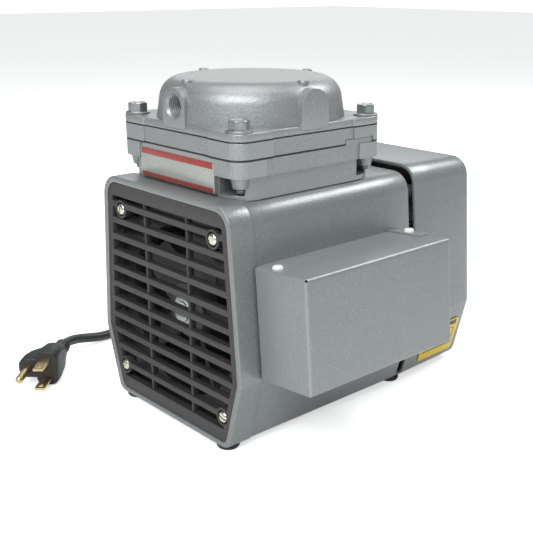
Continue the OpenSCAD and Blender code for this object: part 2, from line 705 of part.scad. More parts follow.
module box_cover() {
    color(PAINT) box_place() difference() {
        union() {
            block(0.1, box_depth, box_front, box_rear, -box_half, box_half);
            block(0.1, box_depth * 0.62, lap_y, box_rear, box_half - 0.5, box_half + 0.9);
        }
        // Clears the shell's raised front band
        block(-1, 2.2, box_front - 1, -56.8, -40, 40);
        block(-1, box_depth - box_wall, box_front + box_wall, box_rear - box_wall,
            -box_half + box_wall, box_half - box_wall);
        for (p = BOX_SCREWS) translate([p[0], p[1], -40]) cylinder(r = 1.7, h = 80);
    }
}
module box_base() {
    color("#9ea3a2") box_place() difference() {
        union() {
            block(0.1, 1.6, -56.8, box_rear - 1.9, -box_half + 1.9, box_half - 1.9);
            for (p = BOX_SCREWS, s = [-1, 1])
                block(p[1] < 0 ? 1.1 : 0.1, 20, p[1] - 2.3, p[1] + 2.3, s > 0 ? box_half - 3.2 : -box_half + 1.8,
                    s > 0 ? box_half - 1.8 : -box_half + 3.2);
        }
        for (p = BOX_SCREWS) translate([p[0], p[1], -40]) cylinder(r = 1.5, h = 80);
        translate([-1, grommet_y, grommet_z - box_mid_z]) rotate([0, 90, 0]) cylinder(r = 6, h = 4);
    }
}
module box_screws() {
    color(STEEL) box_place() for (p = BOX_SCREWS, s = [-1, 1]) translate([p[0], p[1], 0]) mirror([0, 0, s > 0 ? 0 : 1]) {
        translate([0, 0, box_half + (p[1] > 0 && s > 0 ? 0.9 : 0)]) pan_head(2.9, 1.8);
        translate([0, 0, box_half - 7]) cylinder(r = 1.4, h = 8.2);
    }
}

cap_r = 14.5;
cap_x = 18;
cap_z = -10;
cap_y0 = -46;
cap_y1 = 14;
module run_capacitor() {
    color("#8c9093") box_place() {
        rod_y(cap_r, cap_y0, cap_y1, cap_x, cap_z);
        rod_y(cap_r - 3, cap_y1, cap_y1 + 2, cap_x, cap_z);
        for (s = [-1, 1]) block(cap_x - 0.4, cap_x + 0.4, cap_y1, cap_y1 + 9, cap_z + s * 5 - 3, cap_z + s * 5 + 3);
    }
}
module capacitor_clip() {
    color(STEEL) box_place() {
        difference() {
            rod_y(cap_r + 1, -26, -12, cap_x, cap_z);
            rod_y(cap_r, -27, -11, cap_x, cap_z);
            block(-5, cap_x - 8, -27, -11, cap_z - 40, cap_z + 40);
        }
        for (s = [-1, 1]) block(1.6, cap_x - 7.6, -26, -12,
            cap_z + s * 12.8 - 0.6, cap_z + s * 12.8 + 0.6);
    }
}

module lead_grommet() {
    color(BLACK) box_place() translate([0, grommet_y, grommet_z - box_mid_z]) rotate([0, 90, 0]) difference() {
        union() {
            translate([0, 0, -shell_wall]) cylinder(r = 5.9, h = shell_wall + 1.6);
            translate([0, 0, -shell_wall - 2]) cylinder(r = 8, h = 2);
            translate([0, 0, 1.6]) cylinder(r = 8, h = 2);
        }
        translate([0, 0, -6]) cylinder(r = 4, h = 12);
    }
}

// ---------- swept tubes ----------

function along(route, i) = let(n = len(route)) unit(route[min(i + 1, n - 1)] - route[max(i - 1, 0)]);
function ring_of(p, t, r, sides) = let(
        side = unit(cross(abs(t[2]) > 0.9 ? [1, 0, 0] : [0, 0, 1], t)), up = cross(t, side))
    [for (k = [0:sides - 1]) let(a = 360 * (k + 0.5) / sides) p + r * (cos(a) * side + sin(a) * up)];
module tube(route, r, sides = 8) {
    n = len(route);
    rings = [for (i = [0:n - 1]) each ring_of(route[i], along(route, i), r, sides)];
    faces = concat(
        [[for (k = [0:sides - 1]) sides - 1 - k]],
        [for (i = [0:n - 2], k = [0:sides - 1]) let(a = i * sides, b = (k + 1) % sides)
            each [[a + k, a + b, a + sides + k], [a + b, a + sides + b, a + sides + k]]],
        [[for (k = [0:sides - 1]) (n - 1) * sides + k]]);
    polyhedron(points = rings, faces = [for (f = faces) [for (k = [len(f) - 1:-1:0]) f[k]]]);
}

// Two leads from the capacitor's tags, through the grommet, to the winding
LEAD_ROUTES = [
    [[82.1, 23, 61.7], [82, 28, 61.2], [79.5, 33, 62.5], [74, 34.5, 66], [68, 31, 68.5], [62, 29, 69.5], [57, 31, 70],
        [53, 40, 72], [51, 57, 76], [48.5, 70.5, 80], [41, 75, 82], [32.5, 74.5, 82]],
    [[81.3, 23, 71.7], [81, 27.5, 72], [77, 31, 72.5], [71, 31, 72], [65, 29.5, 71.5], [60, 28.5, 72], [55.5, 31, 74],
        [53, 41, 78], [51, 57, 84], [48.5, 70, 88], [40, 75, 88], [29.5, 74.5, 88]]];
module motor_leads() {
    color("#a03028") for (route = LEAD_ROUTES) tube(route, 1.1, 8);
}

// ---------- mains lead ----------

relief_len = 25;
module strain_relief() {
    color(BLACK) at_relief() difference() {
        union() {
            translate([0, 0, -4]) cylinder(r = 5, h = 8);
            translate([0, 0, 0.4]) cylinder(r = 7.5, h = 2.5);
            translate([0, 0, -5.5]) cylinder(r = 6.5, h = 2.2);
            translate([0, 0, 2.8]) cylinder(r1 = 6, r2 = 4.4, h = relief_len - 2.8);
        }
        translate([0, 0, -6]) cylinder(r = cord_d / 2, h = 7 + relief_len);
    }
}

// Stretch from the relief to the coil's top turn
CORD_LEAD = [[-63, 83, 31.4], [-75, 83, 28.1], [-83, 83, 25.9], [-88, 83, 24.7], [-94, 83, 23.7],
    [-101, 83, 23.2], [-111, 83, 23.1]];
// Stretch from the coil's bottom turn to the plug
CORD_RUN = [[-153, 42, 3.3], [-152.9, 32, 3.3], [-152, 22, 3.3], [-150, 11.5, 3.3], [-147.2, 1, 3.3],
    [-143.8, -9, 3.3], [-140.3, -18.5, 3.3], [-137.2, -28, 3.4], [-135, -37.5, 4.2], [-133.8, -46.7, 5.9],
    [-132.3, -57, 8.3], [-128.3, -66.7, 10.4], [-121.5, -75.5, 11.6], [-119, -77.9, 11.6]];
coil_x = -112;
coil_y = 42;
coil_outer = 41;
coil_pitch = 6.6;
coil_low = 3.3;
coil_inner = 30.3;
coil_top = coil_low + 3 * coil_pitch + cord_d / 2;
module cord_lead() { color(BLACK) tube(CORD_LEAD, cord_d / 2); }
module cord_run() { color(BLACK) tube(CORD_RUN, cord_d / 2); }
// Four flat layers of turns, one upon another
module cord_coil() {
    low = coil_low - cord_d / 2;
    color(BLACK) translate([coil_x, coil_y, 0]) rotate_extrude($fn = 48) polygon([
        [coil_inner - cord_d / 2, low], [coil_outer + cord_d / 2, low],
        [coil_outer + cord_d / 2, coil_top], [coil_inner - cord_d / 2, coil_top]]);
}
// Wire tie round the bundle, on the coil's side away from the pump
module cord_tie() {
    x0 = coil_inner - cord_d / 2 - 1;
    x1 = coil_outer + cord_d / 2 + 1;
    color("#1f1f20") translate([coil_x, coil_y, 0]) rotate([0, 0, 225]) difference() {
        block(x0, x1, -3, 3, 0, coil_top + 1.2);
        block(x0 + 0.9, x1 - 0.9, -4, 4, -1, coil_top + 0.3);
    }
}

// Plug frame: X towards the prongs, Y towards the blades' side, Z up; it lies on one edge
plug_turn = -44;
plug_face = [-94.2, -101.9, 11.6];
plug_depth = 20;
module at_plug() { translate(plug_face) rotate([0, 0, plug_turn]) children(); }
module plug_body() {
    color(BLACK) at_plug() {
        difference() {
            union() {
                translate([-plug_depth, -7, -11.5]) cube([plug_depth, 14, 23]);
                translate([-plug_depth, -18, -6.5]) cube([plug_depth, 12, 13]);
                hull() {
                    translate([-plug_depth, -7, -9]) cube([0.5, 13, 18]);
                    translate([-plug_depth - 8, -5, -5]) cube([0.5, 10, 10]);
                }
                translate([-plug_depth - 18, 0, 0]) rotate([0, 90, 0]) cylinder(r = 5, h = 12);
            }
            translate([-plug_depth - 19, 0, 0]) rotate([0, 90, 0]) cylinder(r = cord_d / 2, h = 6);
        }
    }
}
module plug_blades() {
    color("#c9b37a") at_plug() for (s = [-1, 1]) difference() {
        translate([-4, -3.2, s * 6.35 - 0.75]) cube([21, 6.4, 1.5]);
        translate([13.5, 0, s * 6.35 - 2]) cylinder(r = 1.6, h = 4);
    }
}
module plug_ground_pin() {
    color("#c9b37a") at_plug() translate([-4, -11.9, 0]) rotate([0, 90, 0]) {
        cylinder(r = 2.4, h = 21);
        translate([0, 0, 21]) cylinder(r1 = 2.4, r2 = 1.2, h = 2.5);
    }
}

// ---------- feet and plates ----------

module rubber_feet() {
    color("#252526") four(foot_x, foot_y) rotate_extrude() polygon([
        [foot_hole_r, 0], [5.7, 0], [6.5, 0.8], [6.5, floor_gap], [foot_neck_r, floor_gap],
        [foot_neck_r, floor_gap + shell_wall], [foot_hole_r, floor_gap + shell_wall]]);
}

module nameplate() {
    color("#d5d6d2") translate([-34, head_y - head_half + 0.8 - 0.5, 140.6]) cube([68, 0.5, 16]);
}
// Plain plate low on the hood's side, on its inward-sloping part
module caution_label() {
    color("#e8cf3a") translate([56.3, 100.5, 18.5]) rotate([0, 0, 2.2]) rotate([0, 15, 0])
        block(0.25, 0.65, -18, 18, -9, 15.5);
}
module rating_plate() {
    color("#c9cbc8") block(-32, 32, hood_back, hood_back + 0.5, 88, 118);
}

// ---------- the model ----------

front_shell();
intake_grille();
grille_screws();
fan_shroud();
rear_hood();
hood_screws();
pump_housing();
housing_screws();
diaphragm();
valve_plate();
intake_reed();
exhaust_reed();
reed_stops();
reed_screws();
head_gasket();
head_cover();
head_bolts();
connecting_rod();
diaphragm_retainer();
retainer_screw();
rod_bearing();
rod_bearing_inner();
eccentric();
eccentric_screw();
motor_shaft();
rotor_core();
rotor_cage();
cooling_fan();
fan_nut();
stator_core();
stator_coils();
thermal_protector();
front_bracket();
rear_bracket();
motor_bearings();
bearing_inners();
through_bolts();
box_base();
box_cover();
box_screws();
run_capacitor();
capacitor_clip();
lead_grommet();
motor_leads();
strain_relief();
cord_lead();
cord_coil();
cord_tie();
cord_run();
plug_body();
plug_blades();
plug_ground_pin();
rubber_feet();
nameplate();
caution_label();
rating_plate();
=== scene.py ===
import json
import math

import bmesh
import bpy
import numpy as np
from mathutils import Matrix, Vector


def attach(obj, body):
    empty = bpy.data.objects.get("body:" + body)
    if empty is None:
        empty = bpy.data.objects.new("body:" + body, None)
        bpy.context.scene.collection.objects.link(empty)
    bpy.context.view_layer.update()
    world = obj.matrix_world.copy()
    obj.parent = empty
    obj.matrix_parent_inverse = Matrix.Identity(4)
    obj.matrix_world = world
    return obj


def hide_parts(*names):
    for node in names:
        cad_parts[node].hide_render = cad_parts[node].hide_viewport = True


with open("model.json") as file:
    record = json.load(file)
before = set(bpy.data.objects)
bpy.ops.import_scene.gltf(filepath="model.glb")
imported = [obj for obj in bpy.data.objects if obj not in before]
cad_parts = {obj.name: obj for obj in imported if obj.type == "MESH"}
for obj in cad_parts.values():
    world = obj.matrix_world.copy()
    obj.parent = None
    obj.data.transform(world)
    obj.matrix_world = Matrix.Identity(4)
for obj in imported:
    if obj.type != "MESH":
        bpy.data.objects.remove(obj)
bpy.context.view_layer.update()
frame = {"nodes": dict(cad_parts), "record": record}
NODES = frame["nodes"]
scene = bpy.context.scene
MM = 0.001

# ---------------------------------------------------------------- camera

CAM_AT = Vector((0.4055, -0.3433, 0.2481))
CAM_TO = Vector((0.0320, 0.0080, 0.0877))
CAM_ROLL = 0.22
cam_data = bpy.data.cameras.new("camera")
cam = bpy.data.objects.new("camera", cam_data)
scene.collection.objects.link(cam)
cam.location = CAM_AT
look = (CAM_TO - CAM_AT).to_track_quat("-Z", "Y").to_matrix().to_4x4()
cam.matrix_world = Matrix.Translation(CAM_AT) @ look @ Matrix.Rotation(math.radians(CAM_ROLL), 4, "Z")
cam_data.sensor_width = 36.0
cam_data.lens = 61.396
cam_data.shift_x = -0.0814
cam_data.shift_y = -0.0071
cam_data.clip_start = 0.01
scene.camera = cam


# ---------------------------------------------------------------- material helpers

class Nodes:
    """Short names for building one node tree."""

    def __init__(self, name):
        self.mat = bpy.data.materials.new(name)
        self.mat.use_nodes = True
        self.tree = self.mat.node_tree
        self.tree.nodes.clear()
        self.out = self.tree.nodes.new("ShaderNodeOutputMaterial")
        self.bsdf = self.tree.nodes.new("ShaderNodeBsdfPrincipled")
        self.tree.links.new(self.bsdf.outputs[0], self.out.inputs[0])
        self.coord = self.tree.nodes.new("ShaderNodeTexCoord")
        self.where = self.coord.outputs["Object"]

    def new(self, kind, **inputs):
        n = self.tree.nodes.new(kind)
        for k, v in inputs.items():
            self.put(n, k, v)
        return n

    def put(self, n, key, value):
        key = key.replace("_", " ") if isinstance(key, str) else key
        if isinstance(value, bpy.types.NodeSocket):
            self.tree.links.new(value, n.inputs[key])
        else:
            n.inputs[key].default_value = value

    def link(self, a, b):
        self.tree.links.new(a, b)

    def noise(self, scale, detail=2.0, rough=0.5, where=None):
        return self.new("ShaderNodeTexNoise", Vector=where or self.where, Scale=scale, Detail=detail,
                        Roughness=rough).outputs["Fac"]

    def cells(self, scale, feature="F1", where=None, rand=1.0):
        n = self.new("ShaderNodeTexVoronoi", Vector=where or self.where, Scale=scale, Randomness=rand)
        n.feature = feature
        return n.outputs["Distance"]

    def ramp(self, fac, stops):
        n = self.new("ShaderNodeValToRGB", Fac=fac)
        el = n.color_ramp.elements
        while len(el) < len(stops):
            el.new(0.5)
        for e, (pos, col) in zip(el, stops):
            e.position = pos
            c = (col, col, col) if isinstance(col, (int, float)) else col
            e.color = (*c[:3], 1.0)
        return n.outputs["Color"]

    def span(self, fac, lo, hi, a=0.0, b=1.0):
        n = self.new("ShaderNodeMapRange", Value=fac)
        n.inputs["From Min"].default_value = lo
        n.inputs["From Max"].default_value = hi
        n.inputs["To Min"].default_value = a
        n.inputs["To Max"].default_value = b
        return n.outputs["Result"]

    def math(self, op, a, b=0.0, clamp=False):
        n = self.tree.nodes.new("ShaderNodeMath")
        n.operation = op
        n.use_clamp = clamp
        self.put(n, 0, a)
        self.put(n, 1, b)
        return n.outputs[0]

    def mix(self, fac, a, b, mode="MIX"):
        n = self.tree.nodes.new("ShaderNodeMix")
        n.data_type = "RGBA"
        n.blend_type = mode
        self.put(n, 0, fac)
        for key, v in ((6, a), (7, b)):
            if isinstance(v, bpy.types.NodeSocket):
                self.link(v, n.inputs[key])
            else:
                n.inputs[key].default_value = (*v[:3], 1.0)
        return n.outputs[2]

    def bump(self, height, strength, distance, normal=None):
        n = self.new("ShaderNodeBump", Height=height, Strength=strength, Distance=distance)
        if normal is not None:
            self.link(normal, n.inputs["Normal"])
        return n.outputs["Normal"]

    def set(self, **inputs):
        for k, v in inputs.items():
            self.put(self.bsdf, k, v)
        return self.mat


def painted_edge_highlight(n, amount=1.0):
    """Mask for a painted highlight: 1 on sharp convex edges, 0 elsewhere, from the mesh's own pointiness."""
    geo = n.tree.nodes.new("ShaderNodeNewGeometry")
    return n.span(geo.outputs["Pointiness"], 0.52, 0.60, 0.0, amount)


def paint(name, color, mottle=0.12, flake=0.10, rough=0.34, bump=0.25, cell=850.0, metallic=0.35):
    """Hammered or sprayed metallic enamel."""
    n = Nodes(name)
    broad = n.noise(11.0, 3.0, 0.55)
    fine = n.noise(cell, 2.0, 0.55)
    dimple = n.cells(cell * 0.55, "SMOOTH_F1")
    spark = n.cells(cell * 2.2)
    dark = tuple(c * (1 - mottle) for c in color)
    light = tuple(min(1, c * (1 + mottle)) for c in color)
    base = n.ramp(n.math("ADD", n.math("MULTIPLY", fine, 0.86), n.math("MULTIPLY", broad, 0.14)),
                  [(0.36, dark), (0.64, light)])
    flecks = n.ramp(spark, [(0.0, 1.0 + flake * 3), (0.28, 1.0 + flake), (0.62, 1.0 - flake * 0.6)])
    base = n.mix(1.0, base, flecks, "MULTIPLY")
    # painted highlight: sharp convex edges lightened to 1.7 times the paint colour
    edge_highlight_mask = painted_edge_highlight(n, 0.35)
    base = n.mix(edge_highlight_mask, base, tuple(min(1, c * 1.7) for c in color))
    n.link(base, n.bsdf.inputs["Base Color"])
    r = n.span(n.math("ADD", fine, n.math("MULTIPLY", spark, 0.3)), 0.3, 0.9, rough - 0.06, rough + 0.08)
    n.link(r, n.bsdf.inputs["Roughness"])
    b = n.bump(dimple, bump, 0.00025)
    b = n.bump(fine, bump * 0.5, 0.00012, b)
    n.link(b, n.bsdf.inputs["Normal"])
    return n.set(Metallic=metallic)


def plastic(name, color, rough=0.5, grain=900.0, bump=0.12, vary=0.18):
    n = Nodes(name)
    broad = n.noise(22.0, 4.0, 0.65)
    fine = n.noise(grain, 2.0, 0.6)
    n.link(n.ramp(n.math("ADD", n.math("MULTIPLY", broad, 0.6), n.math("MULTIPLY", fine, 0.4)),
                  [(0.3, tuple(c * (1 - vary) for c in color)), (0.7, tuple(c * (1 + vary) for c in color))]),
           n.bsdf.inputs["Base Color"])
    n.link(n.span(broad, 0.3, 0.7, rough - 0.06, rough + 0.08), n.bsdf.inputs["Roughness"])
    n.link(n.bump(fine, bump, 0.0002), n.bsdf.inputs["Normal"])
    return n.set(IOR=1.48)


def metal(name, color, rough=0.3, streak=(1.0, 1.0, 1.0), scale=240.0, bump=0.10, vary=0.14, metallic=1.0):
    """Bare metal; streak stretches the grain, with a small value along the brushing."""
    n = Nodes(name)
    m = n.tree.nodes.new("ShaderNodeMapping")
    n.link(n.where, m.inputs["Vector"])
    m.inputs["Scale"].default_value = streak
    grain = n.noise(scale, 4.0, 0.65, m.outputs["Vector"])
    broad = n.noise(30.0, 3.0, 0.6)
    mixv = n.math("ADD", n.math("MULTIPLY", grain, 0.6), n.math("MULTIPLY", broad, 0.4))
    n.link(n.ramp(mixv, [(0.3, tuple(c * (1 - vary) for c in color)),
                         (0.7, tuple(min(1, c * (1 + vary)) for c in color))]), n.bsdf.inputs["Base Color"])
    n.link(n.span(mixv, 0.3, 0.7, rough - 0.07, rough + 0.1), n.bsdf.inputs["Roughness"])
    n.link(n.bump(grain, bump, 0.0002), n.bsdf.inputs["Normal"])
    return n.set(Metallic=metallic)


SHELL = paint("hammered_grey_enamel", (0.215, 0.235, 0.236), mottle=0.09, flake=0.08, rough=0.32, bump=0.30)
BOXP = paint("box_grey_enamel", (0.232, 0.252, 0.252), mottle=0.08, flake=0.07, rough=0.36, bump=0.28)
CAST = paint("sprayed_silver_casting", (0.30, 0.322, 0.318), mottle=0.07, flake=0.14, rough=0.41, bump=0.30,
             cell=1100.0, metallic=0.62)
GRILLE = plastic("moulded_charcoal", (0.040, 0.038, 0.038), rough=0.50)
NICKEL = metal("bright_nickel", (0.66, 0.64, 0.57), rough=0.18, bump=0.05)
ZINC = metal("zinc_plate", (0.36, 0.385, 0.39), rough=0.36, scale=500.0)
STEEL = metal("ground_steel", (0.52, 0.53, 0.54), rough=0.30, streak=(1.0, 0.15, 1.0))
DARKSTEEL = metal("black_oxide_steel", (0.06, 0.06, 0.065), rough=0.42)
SPRING = metal("spring_strip", (0.50, 0.53, 0.56), rough=0.24, streak=(0.1, 1.0, 1.0))
ALUMINIUM = metal("bare_aluminium_casting", (0.60, 0.61, 0.61), rough=0.45, scale=700.0, bump=0.3)
IRON = metal("sintered_iron", (0.20, 0.20, 0.21), rough=0.5, scale=900.0, bump=0.4)
LAMIN = metal("varnished_laminations", (0.20, 0.17, 0.15), rough=0.42, streak=(0.05, 9.0, 0.05), scale=260.0,
              bump=0.8, vary=0.3)
COPPER = metal("enamelled_copper", (0.42, 0.17, 0.07), rough=0.32, streak=(1.0, 12.0, 1.0), scale=140.0,
               bump=0.9, vary=0.35, metallic=0.6)
BRASS = metal("tarnished_brass", (0.62, 0.49, 0.26), rough=0.28, streak=(0.2, 0.2, 1.0))
GALV = metal("zinc_coated_sheet", (0.42, 0.44, 0.44), rough=0.42, scale=60.0)
CAN = metal("drawn_can", (0.50, 0.51, 0.52), rough=0.30, streak=(1.0, 0.06, 1.0))
RUBBER = plastic("black_rubber", (0.020, 0.020, 0.021), rough=0.46, grain=1400.0, bump=0.2)
JACKET = plastic("cord_jacket", (0.018, 0.018, 0.019), rough=0.42, grain=700.0, bump=0.15)
GASKET = plastic("compressed_fibre", (0.022, 0.023, 0.023), rough=0.8, grain=1600.0, bump=0.6)
DIAPH = plastic("fabric_rubber", (0.022, 0.022, 0.022), rough=0.6, grain=1200.0, bump=0.6)
FANP = plastic("fan_grey", (0.10, 0.10, 0.10), rough=0.5)
WHITE = plastic("white_enamel", (0.78, 0.80, 0.78), rough=0.3, grain=500.0, bump=0.05, vary=0.05)
LEADS = plastic("lead_insulation", (0.32, 0.05, 0.035), rough=0.4, vary=0.25)

LOOKS = {
    "shell_paint": SHELL, "cast_paint": CAST, "black_plastic": GRILLE, "nickel_screws": NICKEL,
    "steel": STEEL, "dark_steel": DARKSTEEL, "spring_steel": SPRING, "zinc_bolts": ZINC,
    "bare_aluminium": ALUMINIUM, "cast_iron": IRON, "lamination": LAMIN, "copper_winding": COPPER,
    "diaphragm_rubber": DIAPH, "gasket": GASKET, "fan_plastic": FANP, "galvanised": GALV,
    "white_screws": WHITE, "capacitor_can": CAN, "lead_insulation": LEADS, "black_rubber": RUBBER,
    "cord_jacket": JACKET, "brass": BRASS, "foot_rubber": RUBBER, "plate_enamel": WHITE,
    "yellow_film": WHITE, "plate_metal": ALUMINIUM,
}
SLOT_OF = {s["node"]: s["material_slot"] for s in frame["record"]["subparts"]}
for node_name, node_ob in NODES.items():
    node_ob.data.materials.clear()
    node_ob.data.materials.append(LOOKS[SLOT_OF[node_name]])


# ---------------------------------------------------------------- mesh helpers (millimetres in, metres out)

def unit(v):
    return v / np.linalg.norm(v)


def round_outline(points, radii, inset=0.0, steps=7):
    """Closed outline, corners counter-clockwise and rounded, the whole moved inwards by inset."""
    pts = [np.array(p, float) for p in points]
    out = []
    for i, p in enumerate(pts):
        d0, d1 = unit(p - pts[i - 1]), unit(pts[(i + 1) % len(pts)] - p)
        n0, n1 = np.array([d0[1], -d0[0]]), np.array([d1[1], -d1[0]])
        r = max(radii[i], inset + 0.2)
        c = p - r * (n0 + n1) / (1 + n0 @ n1)
        a0 = math.atan2(n0[1], n0[0])
        turn = (math.atan2(n1[1], n1[0]) - a0) % (2 * math.pi)
        for k in range(steps + 1):
            a = a0 + turn * k / steps
            out.append(c + (r - inset) * np.array([math.cos(a), math.sin(a)]))
    return out


def arc(cx, cy, r, a0, a1, steps):
    """Points on an arc, angles in degrees."""
    return [(cx + r * math.cos(math.radians(a0 + (a1 - a0) * k / steps)),
             cy + r * math.sin(math.radians(a0 + (a1 - a0) * k / steps))) for k in range(steps + 1)]


def make(name, verts, faces, mat, body="base", slot=None, sharp=34.0, replaces=(), at=None):
    """A mesh object from millimetre points, smooth but for edges over the sharp angle."""
    me = bpy.data.meshes.new(name)
    v = [Vector(p) for p in verts]
    if at is not None:
        v = [at @ p for p in v]
    me.from_pydata([p * MM for p in v], [], faces)
    return finish_mesh(name, me, mat, body, slot, sharp, replaces)


def finish_mesh(name, me, mat, body="base", slot=None, sharp=34.0, replaces=()):
    bm = bmesh.new()
    bm.from_mesh(me)
    bmesh.ops.remove_doubles(bm, verts=bm.verts, dist=1e-6)
    bmesh.ops.dissolve_degenerate(bm, dist=1e-7, edges=bm.edges)
    bmesh.ops.recalc_face_normals(bm, faces=bm.faces)
    bm.to_mesh(me)
    bm.free()
    for p in me.polygons:
        p.use_smooth = True
    me.set_sharp_from_angle(angle=math.radians(sharp))
    me.materials.clear()
    me.materials.append(mat)
    ob = bpy.data.objects.new(name, me)
    scene.collection.objects.link(ob)
    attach(ob, body)
    if replaces:
        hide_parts(*replaces)
        slot = slot or SLOT_OF[replaces[0]]
    return ob


def loft(rings, close=False, cap=(True, True)):
    """Vertices and faces through rings of equal count; close joins the last ring to the first."""
    n = len(rings[0])
    verts = [tuple(map(float, p)) for r in rings for p in r]
    faces = []
    count = len(rings)
    for i in range(count if close else count - 1):
        a, b = i * n, ((i + 1) % count) * n
        for k in range(n):
            k2 = (k + 1) % n
            faces.append((a + k, a + k2, b + k2, b + k))
    if not close:
        if cap[0]:
            faces.append(tuple(reversed(range(n))))
        if cap[1]:
            faces.append(tuple(range((count - 1) * n, count * n)))
    return verts, faces


def add(parts):
    """Joins several (verts, faces) into one."""
    verts, faces = [], []
    for v, f in parts:
        k = len(verts)
        verts += list(v)
        faces += [tuple(i + k for i in g) for g in f]
    return verts, faces


def moved(part, matrix):
    return [tuple(matrix @ Vector(p)) for p in part[0]], part[1]


def turned(profile, steps=48, axis="Z"):
    """Rings about an axis through (radius, height) points; a radius of 0 becomes a tiny ring."""
    rings = []
    for r, h in profile:
        ring = []
        for k in range(steps):
            a = 2 * math.pi * k / steps
            x, y = max(r, 1e-4) * math.cos(a), max(r, 1e-4) * math.sin(a)
            ring.append({"Z": (x, y, h), "Y": (x, h, -y), "X": (h, x, y)}[axis])
        rings.append(ring)
    return rings


def solid_turned(profile, steps=48, axis="Z"):
    closed = profile[0] == profile[-1]
    rings = turned(profile[:-1] if closed else profile, steps, axis)
    return loft(rings, close=closed)


def prism(outline, z0, z1, bevel=0.0, steps=3):
    """An outline of (x, y) extruded from z0 to z1, with rounded top and bottom edges."""
    o = [np.array(p, float) for p in outline]
    n = len(o)
    norms = []
    for i in range(n):
        along = o[(i + 1) % n] - o[i - 1]
        d = unit(along) if np.linalg.norm(along) > 1e-9 else np.array([1.0, 0])
        norms.append(np.array([d[1], -d[0]]))

    def ring(inset, z):
        return [(p[0] - q[0] * inset, p[1] - q[1] * inset, z) for p, q in zip(o, norms)]
    if bevel <= 0:
        return loft([ring(0, z0), ring(0, z1)])
    rings = []
    for k in range(steps + 1):
        a = math.pi / 2 * k / steps
        rings.append(ring(bevel * (1 - math.sin(a)), z0 + bevel * (1 - math.cos(a))))
    for k in range(steps + 1):
        a = math.pi / 2 * k / steps
        rings.append(ring(bevel * (1 - math.cos(a)), z1 - bevel * (1 - math.sin(a))))
    return loft(rings)


def brick(x0, x1, y0, y1, z0, z1, bevel=0.3, steps=2):
    """A box with every edge rounded."""
    r = bevel
    outline = round_outline([(x0, y0), (x1, y0), (x1, y1), (x0, y1)], [r * 1.01] * 4, 0.0, steps)
    return prism(outline, z0, z1, r, steps)


def part_mesh(name, part):
    me = bpy.data.meshes.new(name)
    me.from_pydata([Vector(p) * MM for p in part[0]], [], part[1])
    bm = bmesh.new()
    bm.from_mesh(me)
    bmesh.ops.remove_doubles(bm, verts=bm.verts, dist=1e-6)
    bmesh.ops.recalc_face_normals(bm, faces=bm.faces)
    bm.to_mesh(me)
    bm.free()
    return me


def part_of(me):
    """A mesh read back as (verts, faces) in millimetres."""
    return [tuple(v.co / MM) for v in me.vertices], [tuple(q.vertices) for q in me.polygons]


def place(me, matrix):
    """Moves a mesh by a matrix written in millimetres."""
    me.transform(Matrix.Scale(1 / MM, 4))
    me.transform(matrix)
    me.transform(Matrix.Scale(MM, 4))


def cut(base, tools, mode="DIFFERENCE"):
    """Boolean of one (verts, faces) part with others, as a new mesh."""
    ob = bpy.data.objects.new("cut_base", part_mesh("cut_base", base))
    scene.collection.objects.link(ob)
    made = []
    for op, tool in (t if isinstance(t[0], str) else (mode, t) for t in tools):
        t_ob = bpy.data.objects.new("cut_tool", part_mesh("cut_tool", tool))
        scene.collection.objects.link(t_ob)
        m = ob.modifiers.new("cut", "BOOLEAN")
        m.operation = op
        m.solver = "EXACT"
        m.object = t_ob
        made.append(t_ob)
    bpy.context.view_layer.update()
    me = bpy.data.meshes.new_from_object(ob.evaluated_get(bpy.context.evaluated_depsgraph_get()))
    for o in made + [ob]:
        bpy.data.objects.remove(o)
    return me


def bevel_mesh(me, width, angle=35.0, segments=2):
    """Rounds a mesh's sharp edges in place, width in millimetres."""
    ob = bpy.data.objects.new("bevel", me)
    scene.collection.objects.link(ob)
    m = ob.modifiers.new("bevel", "BEVEL")
    m.width = width * MM
    m.segments = segments
    m.limit_method = "ANGLE"
    m.angle_limit = math.radians(angle)
    m.use_clamp_overlap = True
    m.harden_normals = False
    bpy.context.view_layer.update()
    out = bpy.data.meshes.new_from_object(ob.evaluated_get(bpy.context.evaluated_depsgraph_get()))
    bpy.data.objects.remove(ob)
    return out


# ---------------------------------------------------------------- CAD pieces kept: welded, edges rounded

# edge radius of each kept piece, 0.25 where it isn't named
EDGE = {"intake_grille": 0.35, "rotor_cage": 0.3, "motor_leads": 0, "motor_shaft": 0.5, "cooling_fan": 0.35,
        "connecting_rod": 0.8, "pump_housing": 0.7, "valve_plate": 0.6, "head_gasket": 0.12,
        "diaphragm": 0.25, "stator_core": 0.4, "stator_coils": 1.6, "front_bracket": 0.8,
        "rear_bracket": 0.8, "eccentric": 0.5, "box_base": 0.2, "run_capacitor": 1.0, "plug_blades": 0.3,
        "cord_tie": 0.25, "fan_nut": 0.3, "intake_reed": 0.06, "exhaust_reed": 0.06, "reed_stops": 0.15,
        "through_bolts": 0.25}
for node_name, node_ob in NODES.items():
    weld = node_ob.modifiers.new("weld", "WELD")
    weld.merge_threshold = 2e-6
    width = EDGE.get(node_name, 0.25)
    if width:
        bev = node_ob.modifiers.new("bevel", "BEVEL")
        bev.width = width * MM
        bev.segments = 2
        bev.limit_method = "ANGLE"
        bev.angle_limit = math.radians(32)
        bev.use_clamp_overlap = True

# ---------------------------------------------------------------- outer shell and hood

RELIEF_AT = Vector((-60.7, 83.0, 32.0))
RELIEF = Matrix.Translation(RELIEF_AT) @ Matrix.Rotation(math.radians(-105.3), 4, "Y")

BODY_R = [7, 7, 8, 12, 12, 8]


def body_points(top, bend, foot, top_z, bend_z, foot_z):
    return [(-foot, foot_z), (foot, foot_z), (bend, bend_z), (top, top_z), (-top, top_z), (-bend, bend_z)]


